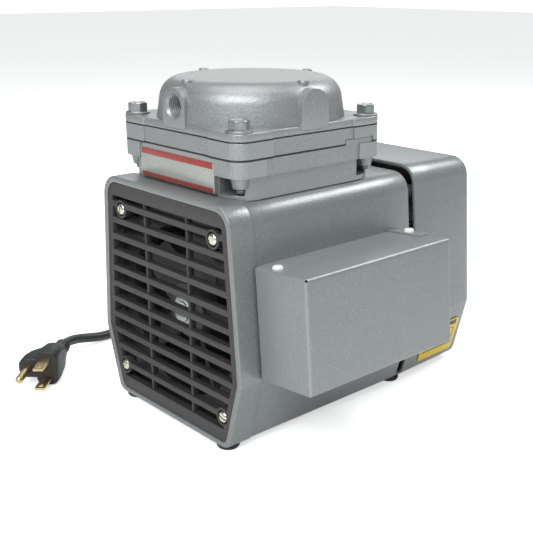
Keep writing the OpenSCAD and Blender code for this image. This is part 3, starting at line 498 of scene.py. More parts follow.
SHELL_PTS = body_points(58.2, 65.2, 53.2, 138, 43.7, 2.7)
HOOD_FRONT = body_points(58, 64.6, 53.2, 141.3, 44, 2.9)
HOOD_BACK = body_points(55.4, 62, 51.3, 139.2, 44.5, 3.4)
WALL, HEAD_Y = 2.8, -8.7
BOLT_HALF, COVER_TOP = 46.3, 173.6
FOOT_X, FOOT_Y = 45, 66
GRILLE_SCREWS = [(43.5, 119.7), (-43.5, 119.7), (48.3, 20.4), (-48.3, 20.4)]
HOOD_POSTS = [(46, 122), (-46, 122), (41, 14.5), (-41, 14.5)]


def shell_ring(y, inset, proud=0.0):
    flat = round_outline(SHELL_PTS, BODY_R, inset)
    out = round_outline(SHELL_PTS, BODY_R, inset - proud) if proud else flat
    return [(a[0] + (b[0] - a[0]) * w, y, a[1] + (b[1] - a[1]) * w)
            for a, b in zip(flat, out) for w in (min(1.0, max(0.0, (a[1] - 2.8) / 2.5)),)]


# the front lip stands proud of the sides; each profile row is (y, inset, proud)
PROUD = 0.8
profile = [(-73 + 0.9 - 0.9 * math.sin(math.radians(a)), 0.9 - 0.9 * math.cos(math.radians(a)), PROUD)
           for a in (90, 72, 54, 36, 18, 0)]
profile += [(-58.2, 0, PROUD), (-57.7, 0.08, PROUD), (-57.2, 0.25, PROUD * 0.7)]
profile += [(-56.9, 0.2, 0.1), (-56.5, 0, 0)]
profile += [(y, 0, 0) for y in (-40, 0, 40)]
profile += [(62.5, 0, 0), (63.06, 0.23, 0), (63.3, 0.8, 0), (63.3, 2.1, 0), (63.1, 2.6, 0)]
profile += [(y, WALL, 0) for y in (62.6, 0, -56, -70.8, -72.5)]
profile += [(-72.9, 2.6, 0.4), (-73, 2.2, PROUD)]
shell_part = loft([shell_ring(*q) for q in profile], close=True)


def rod(axis, r, lo, hi, a, b, steps=32):
    """A plain cylinder as (verts, faces): axis Z takes (a, b) as x, y; axis Y takes them as x, z."""
    rings = []
    for h in (lo, hi):
        ring = []
        for k in range(steps):
            t = 2 * math.pi * k / steps
            u, v = a + r * math.cos(t), b + r * math.sin(t)
            ring.append((u, v, h) if axis == "Z" else (u, h, v))
        rings.append(ring)
    return loft(rings)


# the shell's side leans out by LEAN over RISE; the box sits on it, centred at BOX_Z
LEAN, RISE, BOX_Z = 7.0, 94.3, 75.3
BOX_X = 58.2 + LEAN * (138 - BOX_Z) / RISE
BOX = Matrix.Translation((BOX_X, 0, BOX_Z)) @ Matrix.Rotation(-math.atan(LEAN / RISE), 4, "Y")
GROMMET_Y, GROMMET_Z = 30.0, 70.0
lead_hole = moved(rod("Z", 6.0, -6, 6, 0, 0), BOX @ Matrix.Translation((0, GROMMET_Y, GROMMET_Z - BOX_Z))
                  @ Matrix.Rotation(math.pi / 2, 4, "Y"))
holes = [rod("Z", 45.0, 132, 139.5, 0, HEAD_Y, 64), lead_hole]
holes += [rod("Z", 4.0, 1, 7.5, sx * FOOT_X, sy * FOOT_Y) for sx in (-1, 1) for sy in (-1, 1)]
tongue = brick(-50.2, 50.2, 58.3, 71.5, 2.7, 5.5, 0.5)
lugs = []
for x, z in GRILLE_SCREWS:
    far = math.copysign(58.0 if z > 60 else 56.6, x)
    lugs.append(rod("Y", 4.4, -65.4, -53.1, x, z))
    lugs.append(brick(min(x, far), max(x, far), -65.2, -53.3, z - 2, z + 2, 0.3))
for x, z in HOOD_POSTS:
    far = math.copysign(57.6 if z > 60 else 54.8, x)
    lugs.append(rod("Y", 5.1, 51.5, 63.1, x, z))
    lugs.append(brick(min(x, far), max(x, far), 51.7, 62.9, z - 2, z + 2, 0.3))
shell_me = cut(shell_part, [("UNION", tongue)] + [("DIFFERENCE", h) for h in holes])
finish_mesh("outer_shell", shell_me, SHELL, replaces=("front_shell",))
# lugs stand inside, welded to the wall
make("shell_lugs", *add(lugs), SHELL, slot="shell_paint")


def hood_ring(y, inset):
    t = (y - 69) / 57.5
    pts = [(a[0] + (b[0] - a[0]) * t, a[1] + (b[1] - a[1]) * t) for a, b in zip(HOOD_FRONT, HOOD_BACK)]
    return [(q[0], y, q[1]) for q in round_outline(pts, BODY_R, inset)]


HR = 4.5
hood_profile = [(124, 8.0), (124, 2.6), (100, 2.5), (70.2, 2.5), (69.3, 2.3), (69.0, 1.7), (69.0, 0.7),
                (69.25, 0.2), (69.8, 0.0), (90, 0), (110, 0)]
hood_profile += [(126.5 - HR + HR * math.sin(math.radians(a)), HR - HR * math.cos(math.radians(a)))
                 for a in range(0, 91, 15)]
hood_profile += [(126.5, 8.0), (126.5, 14.0)]
hood_rings = [hood_ring(y, i) for y, i in hood_profile]
hood_part = loft(hood_rings)
tools = []
for x, z in HOOD_POSTS:
    tools.append(("UNION", rod("Y", 4.6, 63.5, 125, x, z)))
for x, z in HOOD_POSTS:
    tools.append(("DIFFERENCE", rod("Y", 2.1, 60, 128, x, z)))
    tools.append(("DIFFERENCE", rod("Y", 4.0, 122.5, 128, x, z)))
tools.append(("DIFFERENCE", brick(-51.2, 51.2, 60, 72.5, -1, 7, 0.1)))
tools.append(("DIFFERENCE", moved(rod("Z", 5.2, -8, 12, 0, 0), RELIEF)))
finish_mesh("rounded_hood", cut(hood_part, tools), SHELL, replaces=("rear_hood",))

# ---------------------------------------------------------------- grille

G0, G1 = -72.0, -67.5


def y_prism(outline, y0, y1, bevel=0.0):
    v, f = prism(outline, y0, y1, bevel)
    return [(a, c, b) for a, b, c in v], f


face = [tuple(q) for q in round_outline(SHELL_PTS, BODY_R, 3.2)]
rim = [tuple(q) for q in round_outline(SHELL_PTS, BODY_R, 7.3)]
bars = [brick(-75, 75, G0 - 3, G1 + 3, 9.8 + 10.05 * k, 13.2 + 10.05 * k, 0.05) for k in range(12)]
bars.append(brick(-75, 75, G0 - 3, G1 + 3, 127, 150, 0.05))
bars += [rod("Y", 5.4, G0 - 3, G1 + 3, x, z) for x, z in GRILLE_SCREWS]
slots = cut(y_prism(rim, G0 - 1, G1 + 1), bars)
grille_me = cut(y_prism(face, G0, G1), [("DIFFERENCE", part_of(slots))]
                + [("DIFFERENCE", rod("Y", 1.9, G0 - 1, G1 + 1, x, z)) for x, z in GRILLE_SCREWS]
                + [("DIFFERENCE", rod("Y", 4.2, G0 - 1, G0 + 1.5, x, z)) for x, z in GRILLE_SCREWS])
grille_me = bevel_mesh(grille_me, 0.6, 40, 3)
finish_mesh("slotted_grille", grille_me, GRILLE, replaces=("intake_grille",))
uprights = [brick(x - 0.8, x + 0.8, G0 + 0.6, G1 - 0.05, 6.5, 134, 0.3) for x in (-20, 20)]
make("grille_uprights", *add(uprights), GRILLE, slot="black_plastic")

# ---------------------------------------------------------------- screws and bolts


def pan_head(r, h, recess="cross"):
    """Domed screw head with its underside at z 0, its drive cut in the top."""
    prof = [(0, 0), (r, 0), (r, h * 0.22)]
    dome = h * 0.75
    prof += [(r - dome + dome * math.cos(math.radians(a)), h * 0.25 + dome * math.sin(math.radians(a)))
             for a in range(10, 91, 16)]
    prof += [(r * 0.4, h), (0, h)]
    head = solid_turned(prof, 36)
    w = r * 0.13
    if recess == "cross":
        arm = r * 0.58
        cuts = [brick(-a, a, -b, b, h * 0.45, h + 1, 0.02) for a, b in ((arm, w), (w, arm))]
    else:
        cuts = [brick(-r * 1.1, r * 1.1, -w, w, h * 0.5, h + 1, 0.02)]
    return part_of(cut(head, cuts))


def thread(r, z0, z1, pitch=0.8, depth=0.28, steps=20):
    """A screw shank with rolled rings."""
    prof = [(0, z0), (r - depth, z0)]
    z = z0
    while z + pitch < z1:
        prof += [(r - depth, z + pitch * 0.1), (r, z + pitch * 0.5), (r - depth, z + pitch * 0.9)]
        z += pitch
    prof += [(r - depth, z1), (0, z1)]
    return solid_turned(prof, steps)


def aim(at, axis="Z", spin=0.0):
    """Frame with its Z along the axis given, for placing a screw."""
    turn = {"Z": Matrix.Identity(4), "-Z": Matrix.Rotation(math.pi, 4, "X"),
            "Y": Matrix.Rotation(-math.pi / 2, 4, "X"), "-Y": Matrix.Rotation(math.pi / 2, 4, "X")}[axis]
    return Matrix.Translation(at) @ turn @ Matrix.Rotation(math.radians(spin), 4, "Z")


grille_head = pan_head(3.4, 2.2, "slot")
pieces = []
for (x, z), spin in zip(GRILLE_SCREWS, (24, 70, -15, 40)):
    m = aim((x, G0 + 1.5, z), "-Y", spin)
    pieces += [moved(grille_head, m), moved(thread(1.5, -12, 0.1), m)]
make("grille_screw_set", *add(pieces), NICKEL, replaces=("grille_screws",))

hood_head = pan_head(3.6, 2.4)
pieces = []
for (x, z), spin in zip(HOOD_POSTS, (10, 55, 33, 80)):
    m = aim((x, 122.5, z), "Y", spin)
    pieces += [moved(hood_head, m), moved(thread(1.8, -67, 0.1, 1.6), m)]
make("hood_screw_set", *add(pieces), ZINC, replaces=("hood_screws",))

box_head = pan_head(2.9, 1.8)
pieces = []
for (x, y), spin in zip(((13, -53.5), (13, 48)), (18, 62)):
    for sgn in (1, -1):
        lift = 30.8 + (0.9 if y > 0 and sgn > 0 else 0)
        m = BOX @ aim((x, y, sgn * lift), "Z" if sgn > 0 else "-Z", spin)
        pieces += [moved(box_head, m), moved(thread(1.4, -7, 0.1), m)]
make("box_screw_set", *add(pieces), WHITE, replaces=("box_screws",))


def hex_bolt(flange_r, hex_r, h0, h1):
    """Hexagon head on a curved flange; underside at z 0."""
    n = 48
    base = [(0, 0), (flange_r - 0.3, 0), (flange_r, 0.25), (flange_r, 0.75), (flange_r - 0.5, 1.05),
            (hex_r + 0.35, h0), (0, h0 + 0.1)]
    ring = []
    for k in range(n):
        a = 2 * math.pi * k / n
        m = (a + math.pi / 6) % (math.pi / 3) - math.pi / 6
        ring.append((a, hex_r * math.cos(math.pi / 6) / math.cos(m)))
    flat = hex_r * math.cos(math.pi / 6)
    rows = [(h0 - 0.1, 0), (h0 + 0.05, 0), (h1 - 0.9, 0), (h1 - 0.35, 0.35), (h1, 0.95)]
    rings = []
    for z, k in rows:
        rings.append([(min(r, flat + (hex_r - flat) * (1 - k)) * math.cos(a),
                       min(r, flat + (hex_r - flat) * (1 - k)) * math.sin(a), z) for a, r in ring])
    rings.append([(flat * 0.86 * math.cos(a), flat * 0.86 * math.sin(a), h1) for a, r in ring])
    rings.append([(flat * 0.80 * math.cos(a), flat * 0.80 * math.sin(a), h1 - 0.25) for a, r in ring])
    return add([solid_turned(base, 48), loft(rings)])


bolt = hex_bolt(7.0, 5.6, 1.4, 6.2)
pieces = []
for i, (sx, sy) in enumerate(((-1, -1), (1, -1), (1, 1), (-1, 1))):
    at = Matrix.Translation((sx * BOLT_HALF, HEAD_Y + sy * BOLT_HALF, COVER_TOP))
    m = at @ Matrix.Rotation(math.radians(11 + 17 * i), 4, "Z")
    pieces += [moved(bolt, m), moved(thread(2.5, -31.4, 0.2, 1.0, 0.35), m)]
make("head_bolt_set", *add(pieces), ZINC, replaces=("head_bolts",))

# ---------------------------------------------------------------- head cover

DOME_R, DRAFT, SHOULDER, EDGE_Z, TOP_Z, PORT_Z = 53.6, 9.0, 12.9, 195.9, 197.4, 182.6


def flange(z0, z1, pad_from=30, bevel=0.5, half=54.0):
    """Square flange, its four corners a little proud between the pads' edges."""
    inner = round_outline([(-half + 0.8, -half + 0.8), (half - 0.8, -half + 0.8), (half - 0.8, half - 0.8),
                           (-half + 0.8, half - 0.8)], [9] * 4, 0, 10)
    outer = round_outline([(-half, -half), (half, -half), (half, half), (-half, half)], [9] * 4, 0, 10)
    pts = []
    for q in range(4):
        n = 11
        arc_pts = outer[q * n:(q + 1) * n]
        a, b = arc_pts[0], arc_pts[-1]

        def side(p):
            """Where the raised pad ends on the side that p lies on: on the pad, and down its edge."""
            p = np.array(p)
            ax = 0 if abs(abs(p[0]) - half) < 1e-6 else 1
            step = p.copy()
            step[1 - ax] = math.copysign(pad_from, p[1 - ax])
            low = step.copy()
            low[ax] = math.copysign(half - 0.8, p[ax])
            low[1 - ax] = math.copysign(pad_from - 0.8, p[1 - ax])
            return step, low

        s0, l0 = side(a)
        s1, l1 = side(b)
        pts += [l0, s0] + list(arc_pts) + [s1, l1]
    return prism([tuple(p) for p in pts], z0, z1, bevel, 3)


def dome_part():
    lean = math.radians(DRAFT)
    rise = EDGE_Z - SHOULDER + SHOULDER * math.sin(lean) - COVER_TOP
    rc = DOME_R - math.tan(lean) * rise - SHOULDER * math.cos(lean)
    prof = [(0, 171.0), (DOME_R + 0.1, 171.0), (DOME_R, COVER_TOP)]
    prof += arc(rc, EDGE_Z - SHOULDER, SHOULDER, DRAFT, 88, 14)
    prof += [(rc * 0.75, EDGE_Z + 0.75), (rc * 0.5, TOP_Z - 0.4), (rc * 0.25, TOP_Z - 0.1), (0, TOP_Z)]
    return solid_turned(prof, 128)


def boss_part(turn):
    r = 10.0
    out = [(-r, 171.5)] + [(r, 171.5)] + arc(0, PORT_Z, r, 0, 180, 20)
    v, f = prism(out, -53.8, -33, 0.0)
    v = [(x, y, z) for x, z, y in v]
    return moved((v, f), Matrix.Rotation(math.radians(turn), 4, "Z"))


def port_tool(sgn):
    """Port on the side sgn: a bore, ridged like a thread, with a widened mouth."""
    prof = [(0, 30.0), (5.8, 30.0), (5.8, 40.0)]
    y = 40.0
    while y < 52.4:
        prof += [(5.8, y + 0.1), (6.55, y + 0.65), (5.8, y + 1.2)]
        y += 1.4
    prof += [(6.2, 52.9), (7.2, 53.95), (7.2, 56), (0, 56)]
    v, f = solid_turned(prof, 40, "Y")
    return [(x, sgn * y, z + PORT_Z) for x, y, z in v], f


head_tools = [("UNION", boss_part(t)) for t in (0, 90, 180, 270)]
head_me = cut(dome_part(), head_tools)

head_cuts = [("DIFFERENCE", port_tool(s)) for s in (-1, 1)]
dome_v = part_of(bevel_mesh(head_me, 1.5, 30, 4))
PAD = [(0, 190), (3.0, 190), (3.0, 195.8), (2.8, 196.2), (2.4, 196.4), (0, 196.4)]
pads = []
for t in (0, 90, 180, 270):
    m = Matrix.Rotation(math.radians(t), 4, "Z") @ Matrix.Translation((44, 0, 0))
    pads.append(("UNION", moved(solid_turned(PAD, 32), m)))
bolt_at = [(sx * BOLT_HALF, sy * BOLT_HALF) for sx in (-1, 1) for sy in (-1, 1)]
base_cuts = [("DIFFERENCE", rod("Z", 2.7, 168, 175, x, y)) for x, y in bolt_at]
base_cuts += [("DIFFERENCE", rod("Z", 7.6, COVER_TOP, 186, x, y, 48)) for x, y in bolt_at]
room = [(0, 160), (41, 160), (41, 174), (39, 186), (31, 192), (0, 193.2)]
rooms = part_of(cut(solid_turned(room, 64), [brick(-60, 60, -2.5, 2.5, 150, 210, 0.05)]))
cover_tools = pads + [("UNION", flange(169.3, COVER_TOP, 30, 0.6)), ("DIFFERENCE", rooms)]
cover_me = cut(dome_v, cover_tools + head_cuts + base_cuts)
cover_me.transform(Matrix.Translation((0, HEAD_Y * MM, 0)))
finish_mesh("domed_cover", cover_me, CAST, replaces=("head_cover",), sharp=38)

# ---------------------------------------------------------------- wiring box

B0, B1, BH, BD = -59.5, 52.0, 30.8, 40.6


def box_ring(x, inset):
    """The open-backed pan's outline across Y and Z, at the depth x."""
    out = round_outline([(B0 + inset, -BH + inset), (B1 - inset, -BH + inset), (B1 - inset, BH - inset),
                         (B0 + inset, BH - inset)], [0.6] * 4, 0, 4)
    return [(x, q[0], q[1]) for q in out]


R = 2.2
rings = [box_ring(x, i) for x, i in ((0.1, 0.15), (0.4, 0), (20, 0), (BD - R, 0))]
for a in range(15, 91, 15):
    rings.append(box_ring(BD - R + R * math.sin(math.radians(a)), R - R * math.cos(math.radians(a))))
inner = [box_ring(x, i) for x, i in ((BD - 1.5, 3.0), (BD - 2.4, 1.8), (BD - 4, 1.5), (0.4, 1.5))]
pan = loft(inner + rings)
lap = brick(0.3, BD * 0.62, 43.5, B1 - 0.4, BH - 0.6, BH + 0.9, 0.45)
pan_tools = [("UNION", lap)]
pan_tools += [("DIFFERENCE", rod("Z", 1.7, -40, 40, 13, y)) for y in (-53.5, 48)]
pan_tools.append(("DIFFERENCE", brick(-2, 2.2, B0 - 1, -56.8, -40, 40, 0.02)))
corner = Matrix.Translation((BD - 0.6, B0 + 0.6, BH - 0.6))
corner_turn = Matrix.Rotation(math.radians(54.7), 4, Vector((1, 1, 0)).normalized())
pan_tools.append(("DIFFERENCE", moved(rod("Z", 0.75, -4, 4, 0, 0, 20), corner @ corner_turn)))
# bend relief slits where the folded sides meet the flaps
for z in (-BH, BH):
    pan_tools.append(("DIFFERENCE", brick(-2, 3.0, B1 - 2.4, B1 - 1.2, z - 1.6, z + 1.6, 0.02)))
box_me = cut(pan, pan_tools)
place(box_me, BOX)
finish_mesh("box_pan", box_me, BOXP, replaces=("box_cover",))

# ---------------------------------------------------------------- relief, plug, feet, plates

prof = [(3.3, -5.5), (6.3, -5.5), (6.5, -5.2), (6.5, -3.5), (6.2, -3.3), (5.0, -3.3), (5.0, 0.4), (7.2, 0.4),
        (7.5, 0.7), (7.5, 2.6), (7.1, 2.9), (6.1, 3.0)]
z = 3.0
while z < 23.0:
    r = 6.0 - 1.6 * (z - 2.8) / 22.2
    prof += [(r, z + 0.3), (r, z + 1.5), (r - 0.1, z + 1.7)]
    prof += [(r - 0.9, z + 1.9), (r - 0.9, z + 2.5), (r - 0.15, z + 2.7)]
    z += 2.8
prof += [(4.5, 24.2), (4.4, 24.8), (4.1, 25.0), (3.3, 25.0), (3.3, -5.5)]
rv, rf = solid_turned(prof, 48)
CORD_PIECES = [make("bend_relief", *moved((rv, rf), RELIEF), RUBBER, replaces=("strain_relief",))]

PLUG = Matrix.Translation((-94.2, -101.9, 11.6)) @ Matrix.Rotation(math.radians(-44), 4, "Z")


def section(x, y0, y1, z0, z1, r, steps=6):
    out = round_outline([(y0, z0), (y1, z0), (y1, z1), (y0, z1)], [r] * 4, 0, steps)
    return [(x, q[0], q[1]) for q in out]


body = [section(*q) for q in [
    (0, -6.2, 6.2, -10.7, 10.7, 4.2), (-0.5, -6.8, 6.8, -11.3, 11.3, 4.6), (-1.2, -7, 7, -11.5, 11.5, 4.8),
    (-9, -7, 7, -11.5, 11.5, 4.8), (-13, -6.6, 6.6, -10.9, 10.9, 4.8), (-17, -6.5, 6.5, -10.6, 10.6, 5.0),
    (-20, -6.3, 6.3, -9.6, 9.6, 5.2), (-24, -5.7, 5.7, -7.2, 7.2, 5.3), (-28.5, -5.2, 5.2, -5.4, 5.4, 5.0)]]
lobe = [section(*q) for q in [
    (0, -17.2, -2, -5.7, 5.7, 4.4), (-0.5, -17.8, -2, -6.3, 6.3, 4.9), (-1.2, -18, -2, -6.5, 6.5, 5.0),
    (-9, -18, -2, -6.5, 6.5, 5.0), (-15, -16.4, -2, -6.3, 6.3, 5.0), (-20, -12.6, -2, -6.0, 6.0, 4.6),
    (-24.5, -8.4, -2, -5.4, 5.4, 3.0)]]
neck = [(0, -27), (5.2, -27)]
x = -28.5
while x > -37:
    neck += [(5.0, x), (5.0, x - 1.1), (4.3, x - 1.4), (4.3, x - 1.9), (4.95, x - 2.1)]
    x -= 2.2
neck += [(4.7, -38.0), (0, -38.0)]
cord_hole = moved(rod("Z", 3.25, -39, -34, 0, 0), Matrix.Rotation(math.pi / 2, 4, "Y"))
plug_me = cut(loft(body), [("UNION", loft(lobe)), ("UNION", solid_turned(neck, 40, "X")),
                           ("DIFFERENCE", cord_hole)])
place(plug_me, PLUG)
CORD_PIECES.append(finish_mesh("moulded_plug", plug_me, RUBBER, replaces=("plug_body",), sharp=50))

pin = [(0, -4), (2.4, -4), (2.4, 17.2)]
pin += [(2.4 * math.cos(math.radians(a)), 17.2 + 2.3 * math.sin(math.radians(a))) for a in (20, 40, 60, 80)]
pin.append((0, 19.5))
v, f = solid_turned(pin, 32, "X")
at_pin = PLUG @ Matrix.Translation((0, -11.9, 0))
CORD_PIECES.append(make("ground_pin", *moved((v, f), at_pin), BRASS, replaces=("plug_ground_pin",)))

foot = [(2.1, 0.1), (2.4, 0), (5.6, 0), (5.9, 0.1), (6.4, 0.8), (6.5, 1.3), (6.5, 2.4), (6.3, 2.65),
        (4.0, 2.7), (4.0, 5.45), (2.1, 5.5), (2.1, 0.1)]
feet = []
for sx in (-1, 1):
    for sy in (-1, 1):
        feet.append(moved(solid_turned(foot, 40), Matrix.Translation((sx * FOOT_X, sy * FOOT_Y, 0))))
make("foot_grommets", *add(feet), RUBBER, replaces=("rubber_feet",))


def printed(name, base, marks, rough=0.3, metallic=0.0):
    """Flat colour with rectangles of other colours, all in the piece's own millimetres.

    marks: (centre, half sizes, colour), across X and Z; a soft mottle from noise lies on top."""
    n = Nodes(name)
    sep = n.new("ShaderNodeSeparateXYZ", Vector=n.where)
    col = n.ramp(n.noise(60.0, 3.0), [(0.3, tuple(c * 0.93 for c in base)), (0.7, base)])
    for (cu, cv), (hu, hv), tint in marks:
        du = n.math("ABSOLUTE", n.math("SUBTRACT", sep.outputs["X"], cu * MM))
        dv = n.math("ABSOLUTE", n.math("SUBTRACT", sep.outputs["Z"], cv * MM))
        inside = n.math("MULTIPLY", n.math("LESS_THAN", du, hu * MM), n.math("LESS_THAN", dv, hv * MM))
        col = n.mix(inside, col, tint)
    n.link(col, n.bsdf.inputs["Base Color"])
    n.link(n.span(n.noise(90.0, 3.0), 0.3, 0.7, rough - 0.05, rough + 0.12), n.bsdf.inputs["Roughness"])
    n.link(n.bump(n.noise(300.0, 2.0), 0.05, 0.0002), n.bsdf.inputs["Normal"])
    return n.set(Metallic=metallic)


def plate(x0, x1, z0, z1, thick, r, bevel=0.12):
    """Thin rounded plate standing on y 0, facing -Y."""
    out = round_outline([(x0, z0), (x1, z0), (x1, z1), (x0, z1)], [r] * 4, 0, 5)
    v, f = prism(out, -thick, 0, bevel, 2)
    return [(a, c, b) for a, b, c in v], f


RED = (0.36, 0.065, 0.05)
PLATE_FACE = HEAD_Y - 53.2
name_look = printed("plate_print", (0.40, 0.42, 0.40), [
    ((0, 7.1), (33.0, 2.4), RED), ((0, -7.1), (33.0, 1.7), RED)], 0.22, 0.25)
nv, nf = plate(-34, 34, -8, 8, 0.5, 1.0)
plate_ob = make("head_plate", nv, nf, name_look, replaces=("nameplate",))
plate_ob.matrix_world = Matrix.Translation((0, PLATE_FACE * MM, 0.1486))

INK = (0.03, 0.03, 0.028)
label_look = printed("label_print", (0.72, 0.52, 0.02), [
    ((0, 9.6), (15.5, 1.9), INK), ((-7.5, 4.6), (8.0, 0.55), INK), ((-7.5, 2.4), (8.0, 0.55), INK),
    ((-8.5, 0.2), (7.0, 0.55), INK), ((-7.5, -2.2), (8.0, 0.55), INK), ((9.5, 1.4), (5.2, 4.2), INK),
    ((9.5, 1.4), (4.4, 3.4), (0.75, 0.56, 0.03)), ((0, -6.6), (15.5, 0.5), INK)], 0.35)
lv, lf = plate(-18, 18, -12.25, 12.25, 0.4, 2.0, 0.1)
label_ob = make("hood_label", lv, lf, label_look, replaces=("caution_label",))
tilt = Matrix.Translation(Vector((56.3, 100.5, 18.5)) * MM) @ Matrix.Rotation(math.radians(2.2), 4, "Z") \
    @ Matrix.Rotation(math.radians(15), 4, "Y")
on_skin = Matrix.Translation(Vector((0.25, 0, 3.25)) * MM)
label_ob.matrix_world = tilt @ on_skin @ Matrix.Rotation(math.pi / 2, 4, "Z")

rating_look = printed("rating_print", (0.62, 0.63, 0.62), [
    ((0, 10.5), (29, 2.2), (0.12, 0.13, 0.14)), ((0, 4.0), (29, 0.25), INK),
    ((0, -1.5), (29, 0.25), INK), ((0, -7.0), (29, 0.25), INK)], 0.35, 0.5)
rv, rf = plate(-32, 32, -15, 15, 0.5, 1.5)
rating_ob = make("back_plate", rv, rf, rating_look, replaces=("rating_plate",))
rating_ob.matrix_world = Matrix.Translation(Vector((0, 126.5, 103)) * MM) @ Matrix.Rotation(math.pi, 4, "Z")


def tie_path(x0, x1, top, r, inset):
    """Open U from one foot over the bundle to the other, as (x, z)."""
    x0, x1, top, r = x0 + inset, x1 - inset, top - inset, r - inset
    return ([(x0, 0.1), (x0, 6)] + arc(x0 + r, top - r, r, 180, 90, 8) + arc(x1 - r, top - r, r, 90, 0, 8)
            + [(x1, 6), (x1, 0.1)])


outer = tie_path(26.1, 45.2, 27.5, 4.4, 0.0)
inner_t = tie_path(26.1, 45.2, 27.5, 4.4, 0.85)
# the band's cross-section as (place across the band, share of its thickness)
TIE_SECTION = [(-2.6, 0.0), (-3.0, 0.45), (-3.0, 0.6), (-2.6, 1.0)]
TIE_SECTION += [(-w, k) for w, k in reversed(TIE_SECTION)]
tie_rings = []
for (ax, az), (bx, bz) in zip(outer, inner_t):
    ring = []
    for w, k in TIE_SECTION:
        ring.append((ax + (bx - ax) * k, w, az + (bz - az) * k))
    tie_rings.append(ring)
TIE = Matrix.Translation((-112, 42, 0)) @ Matrix.Rotation(math.radians(225), 4, "Z")
tv, tf = loft(tie_rings)
CORD_PIECES.append(make("coil_tie", *moved((tv, tf), TIE), RUBBER, replaces=("cord_tie",)))

# ---------------------------------------------------------------- cord, on part.scad's route

CORD_D = 6.5
# 0.25 mm nearer the pump than part.scad's coil, to stay inside its box
COIL = (-111.75, 42.0)
LEAD = [(-84, 83, 25.7), (-88, 83, 24.7), (-94, 83, 23.7), (-101, 83, 23.2)]
RUN = [(-152.7, 32, 3.3), (-151.9, 22, 3.3), (-150, 11.5, 3.3), (-147.2, 1, 3.3), (-143.8, -9, 3.3),
       (-140.3, -18.5, 3.3), (-137.2, -28, 3.4), (-135, -37.5, 4.2), (-133.8, -46.7, 5.9), (-132.3, -57, 8.3),
       (-128.3, -66.7, 10.4), (-121.5, -75.5, 11.6), (-119, -77.9, 11.6)]
COIL_OUT, COIL_IN, COIL_PITCH, COIL_LOW = 41.0, 30.3, 6.6, 3.3
LAYER_TURNS = (COIL_OUT - COIL_IN) / COIL_PITCH


def coil_points(per=22):
    """Four flat spiral layers from the top one down, counter-clockwise from 90 degrees outside."""
    total = 4 * LAYER_TURNS + 0.75
    steps = round(total * per)
    pts = []
    for k in range(steps + 1):
        t = total * k / steps
        layer = min(int(t / (LAYER_TURNS + 0.25)), 3)
        f = t - layer * (LAYER_TURNS + 0.25)
        drop = max(0.0, (f - LAYER_TURNS) / 0.25)
        run = COIL_PITCH * min(f, LAYER_TURNS)
        r = COIL_OUT - run if layer % 2 == 0 else COIL_IN + run
        z = COIL_LOW + COIL_PITCH * (3 - layer - drop * drop * (3 - 2 * drop))
        a = math.radians(90) + 2 * math.pi * t
        pts.append((COIL[0] + r * math.cos(a), COIL[1] + r * math.sin(a), z))
    return pts


def cord_curve(name, points):
    cu = bpy.data.curves.new(name, "CURVE")
    cu.dimensions = "3D"
    cu.bevel_depth = CORD_D / 2 * MM
    cu.bevel_resolution = 5
    cu.resolution_u = 3
    cu.use_fill_caps = True
    sp = cu.splines.new("BEZIER")
    sp.bezier_points.add(len(points) - 1)
    for bp, p in zip(sp.bezier_points, points):
        bp.co = Vector(p) * MM
        bp.handle_left_type = bp.handle_right_type = "AUTO"
    cu.materials.append(JACKET)
    ob = bpy.data.objects.new(name, cu)
    scene.collection.objects.link(ob)
    return ob


exit_point = RELIEF @ Vector((0, 0, 21.0))
cord_route = [tuple(exit_point)] + LEAD + coil_points() + RUN
cord = cord_curve("mains_cord", cord_route)
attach(cord, "base")
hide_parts("cord_lead", "cord_coil", "cord_run")


# ---------------------------------------------------------------- floor and light

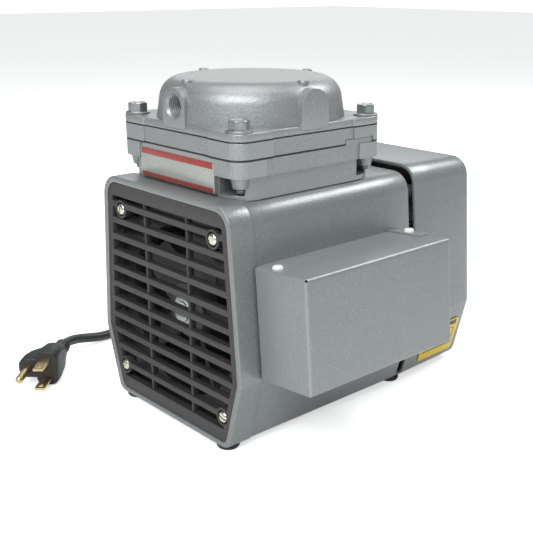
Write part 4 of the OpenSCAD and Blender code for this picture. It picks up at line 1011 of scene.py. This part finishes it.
floor_me = bpy.data.meshes.new("floor")
floor_me.from_pydata([(-6, -6, 0), (6, -6, 0), (6, 6, 0), (-6, 6, 0)], [], [(0, 1, 2, 3)])
floor = bpy.data.objects.new("floor", floor_me)
scene.collection.objects.link(floor)
fn = Nodes("pale_floor")
floor_tone = fn.ramp(fn.noise(3.0), [(0.3, (0.90, 0.90, 0.90)), (0.7, (0.92, 0.92, 0.92))])
fn.link(floor_tone, fn.bsdf.inputs["Base Color"])
fl_seen = fn.tree.nodes.new("ShaderNodeLightPath")
fn.link(fn.span(fl_seen.outputs["Is Camera Ray"], 0.0, 1.0, 0.10, 0.58), fn.bsdf.inputs["Emission Strength"])
fn.set(Roughness=0.95)
fn.bsdf.inputs["Emission Color"].default_value = (1, 1, 1, 1)
floor_me.materials.append(fn.mat)

world = bpy.data.worlds.new("world")
scene.world = world
world.use_nodes = True
wt = world.node_tree
seen = wt.nodes.new("ShaderNodeLightPath")
lit, bare = wt.nodes["Background"], wt.nodes.new("ShaderNodeBackground")
lit.inputs[0].default_value = (0.97, 1.0, 1.0, 1.0)
lit.inputs[1].default_value = 0.30
bare.inputs[1].default_value = 1.30
bare.inputs[0].default_value = (1.0, 1.0, 1.0, 1.0)
both = wt.nodes.new("ShaderNodeMixShader")
wt.links.new(seen.outputs["Is Camera Ray"], both.inputs[0])
wt.links.new(lit.outputs[0], both.inputs[1])
wt.links.new(bare.outputs[0], both.inputs[2])
wt.links.new(both.outputs[0], wt.nodes["World Output"].inputs[0])
scene.view_settings.view_transform = "Standard"


def area(name, at, to, size, power, color=(1, 1, 1)):
    d = bpy.data.lights.new(name, "AREA")
    d.shape = "RECTANGLE"
    d.size, d.size_y = size
    d.energy = power
    d.color = color
    o = bpy.data.objects.new(name, d)
    scene.collection.objects.link(o)
    at, to = Vector(at), Vector(to)
    o.matrix_world = Matrix.Translation(at) @ (to - at).to_track_quat("-Z", "Y").to_matrix().to_4x4()
    return o


area("key_behind", (0.26, 0.92, 1.0), (0, 0, 0.1), (0.55, 0.4), 8.0)
area("left_behind", (-0.85, 0.75, 0.62), (0, 0, 0.15), (0.8, 0.5), 1.9)
area("top", (-0.05, -0.1, 1.3), (0, 0, 0.1), (0.9, 0.8), 6.0)
area("over_camera", (0.50, -0.80, 0.90), (0, 0, 0.15), (1.0, 0.55), 12.5)
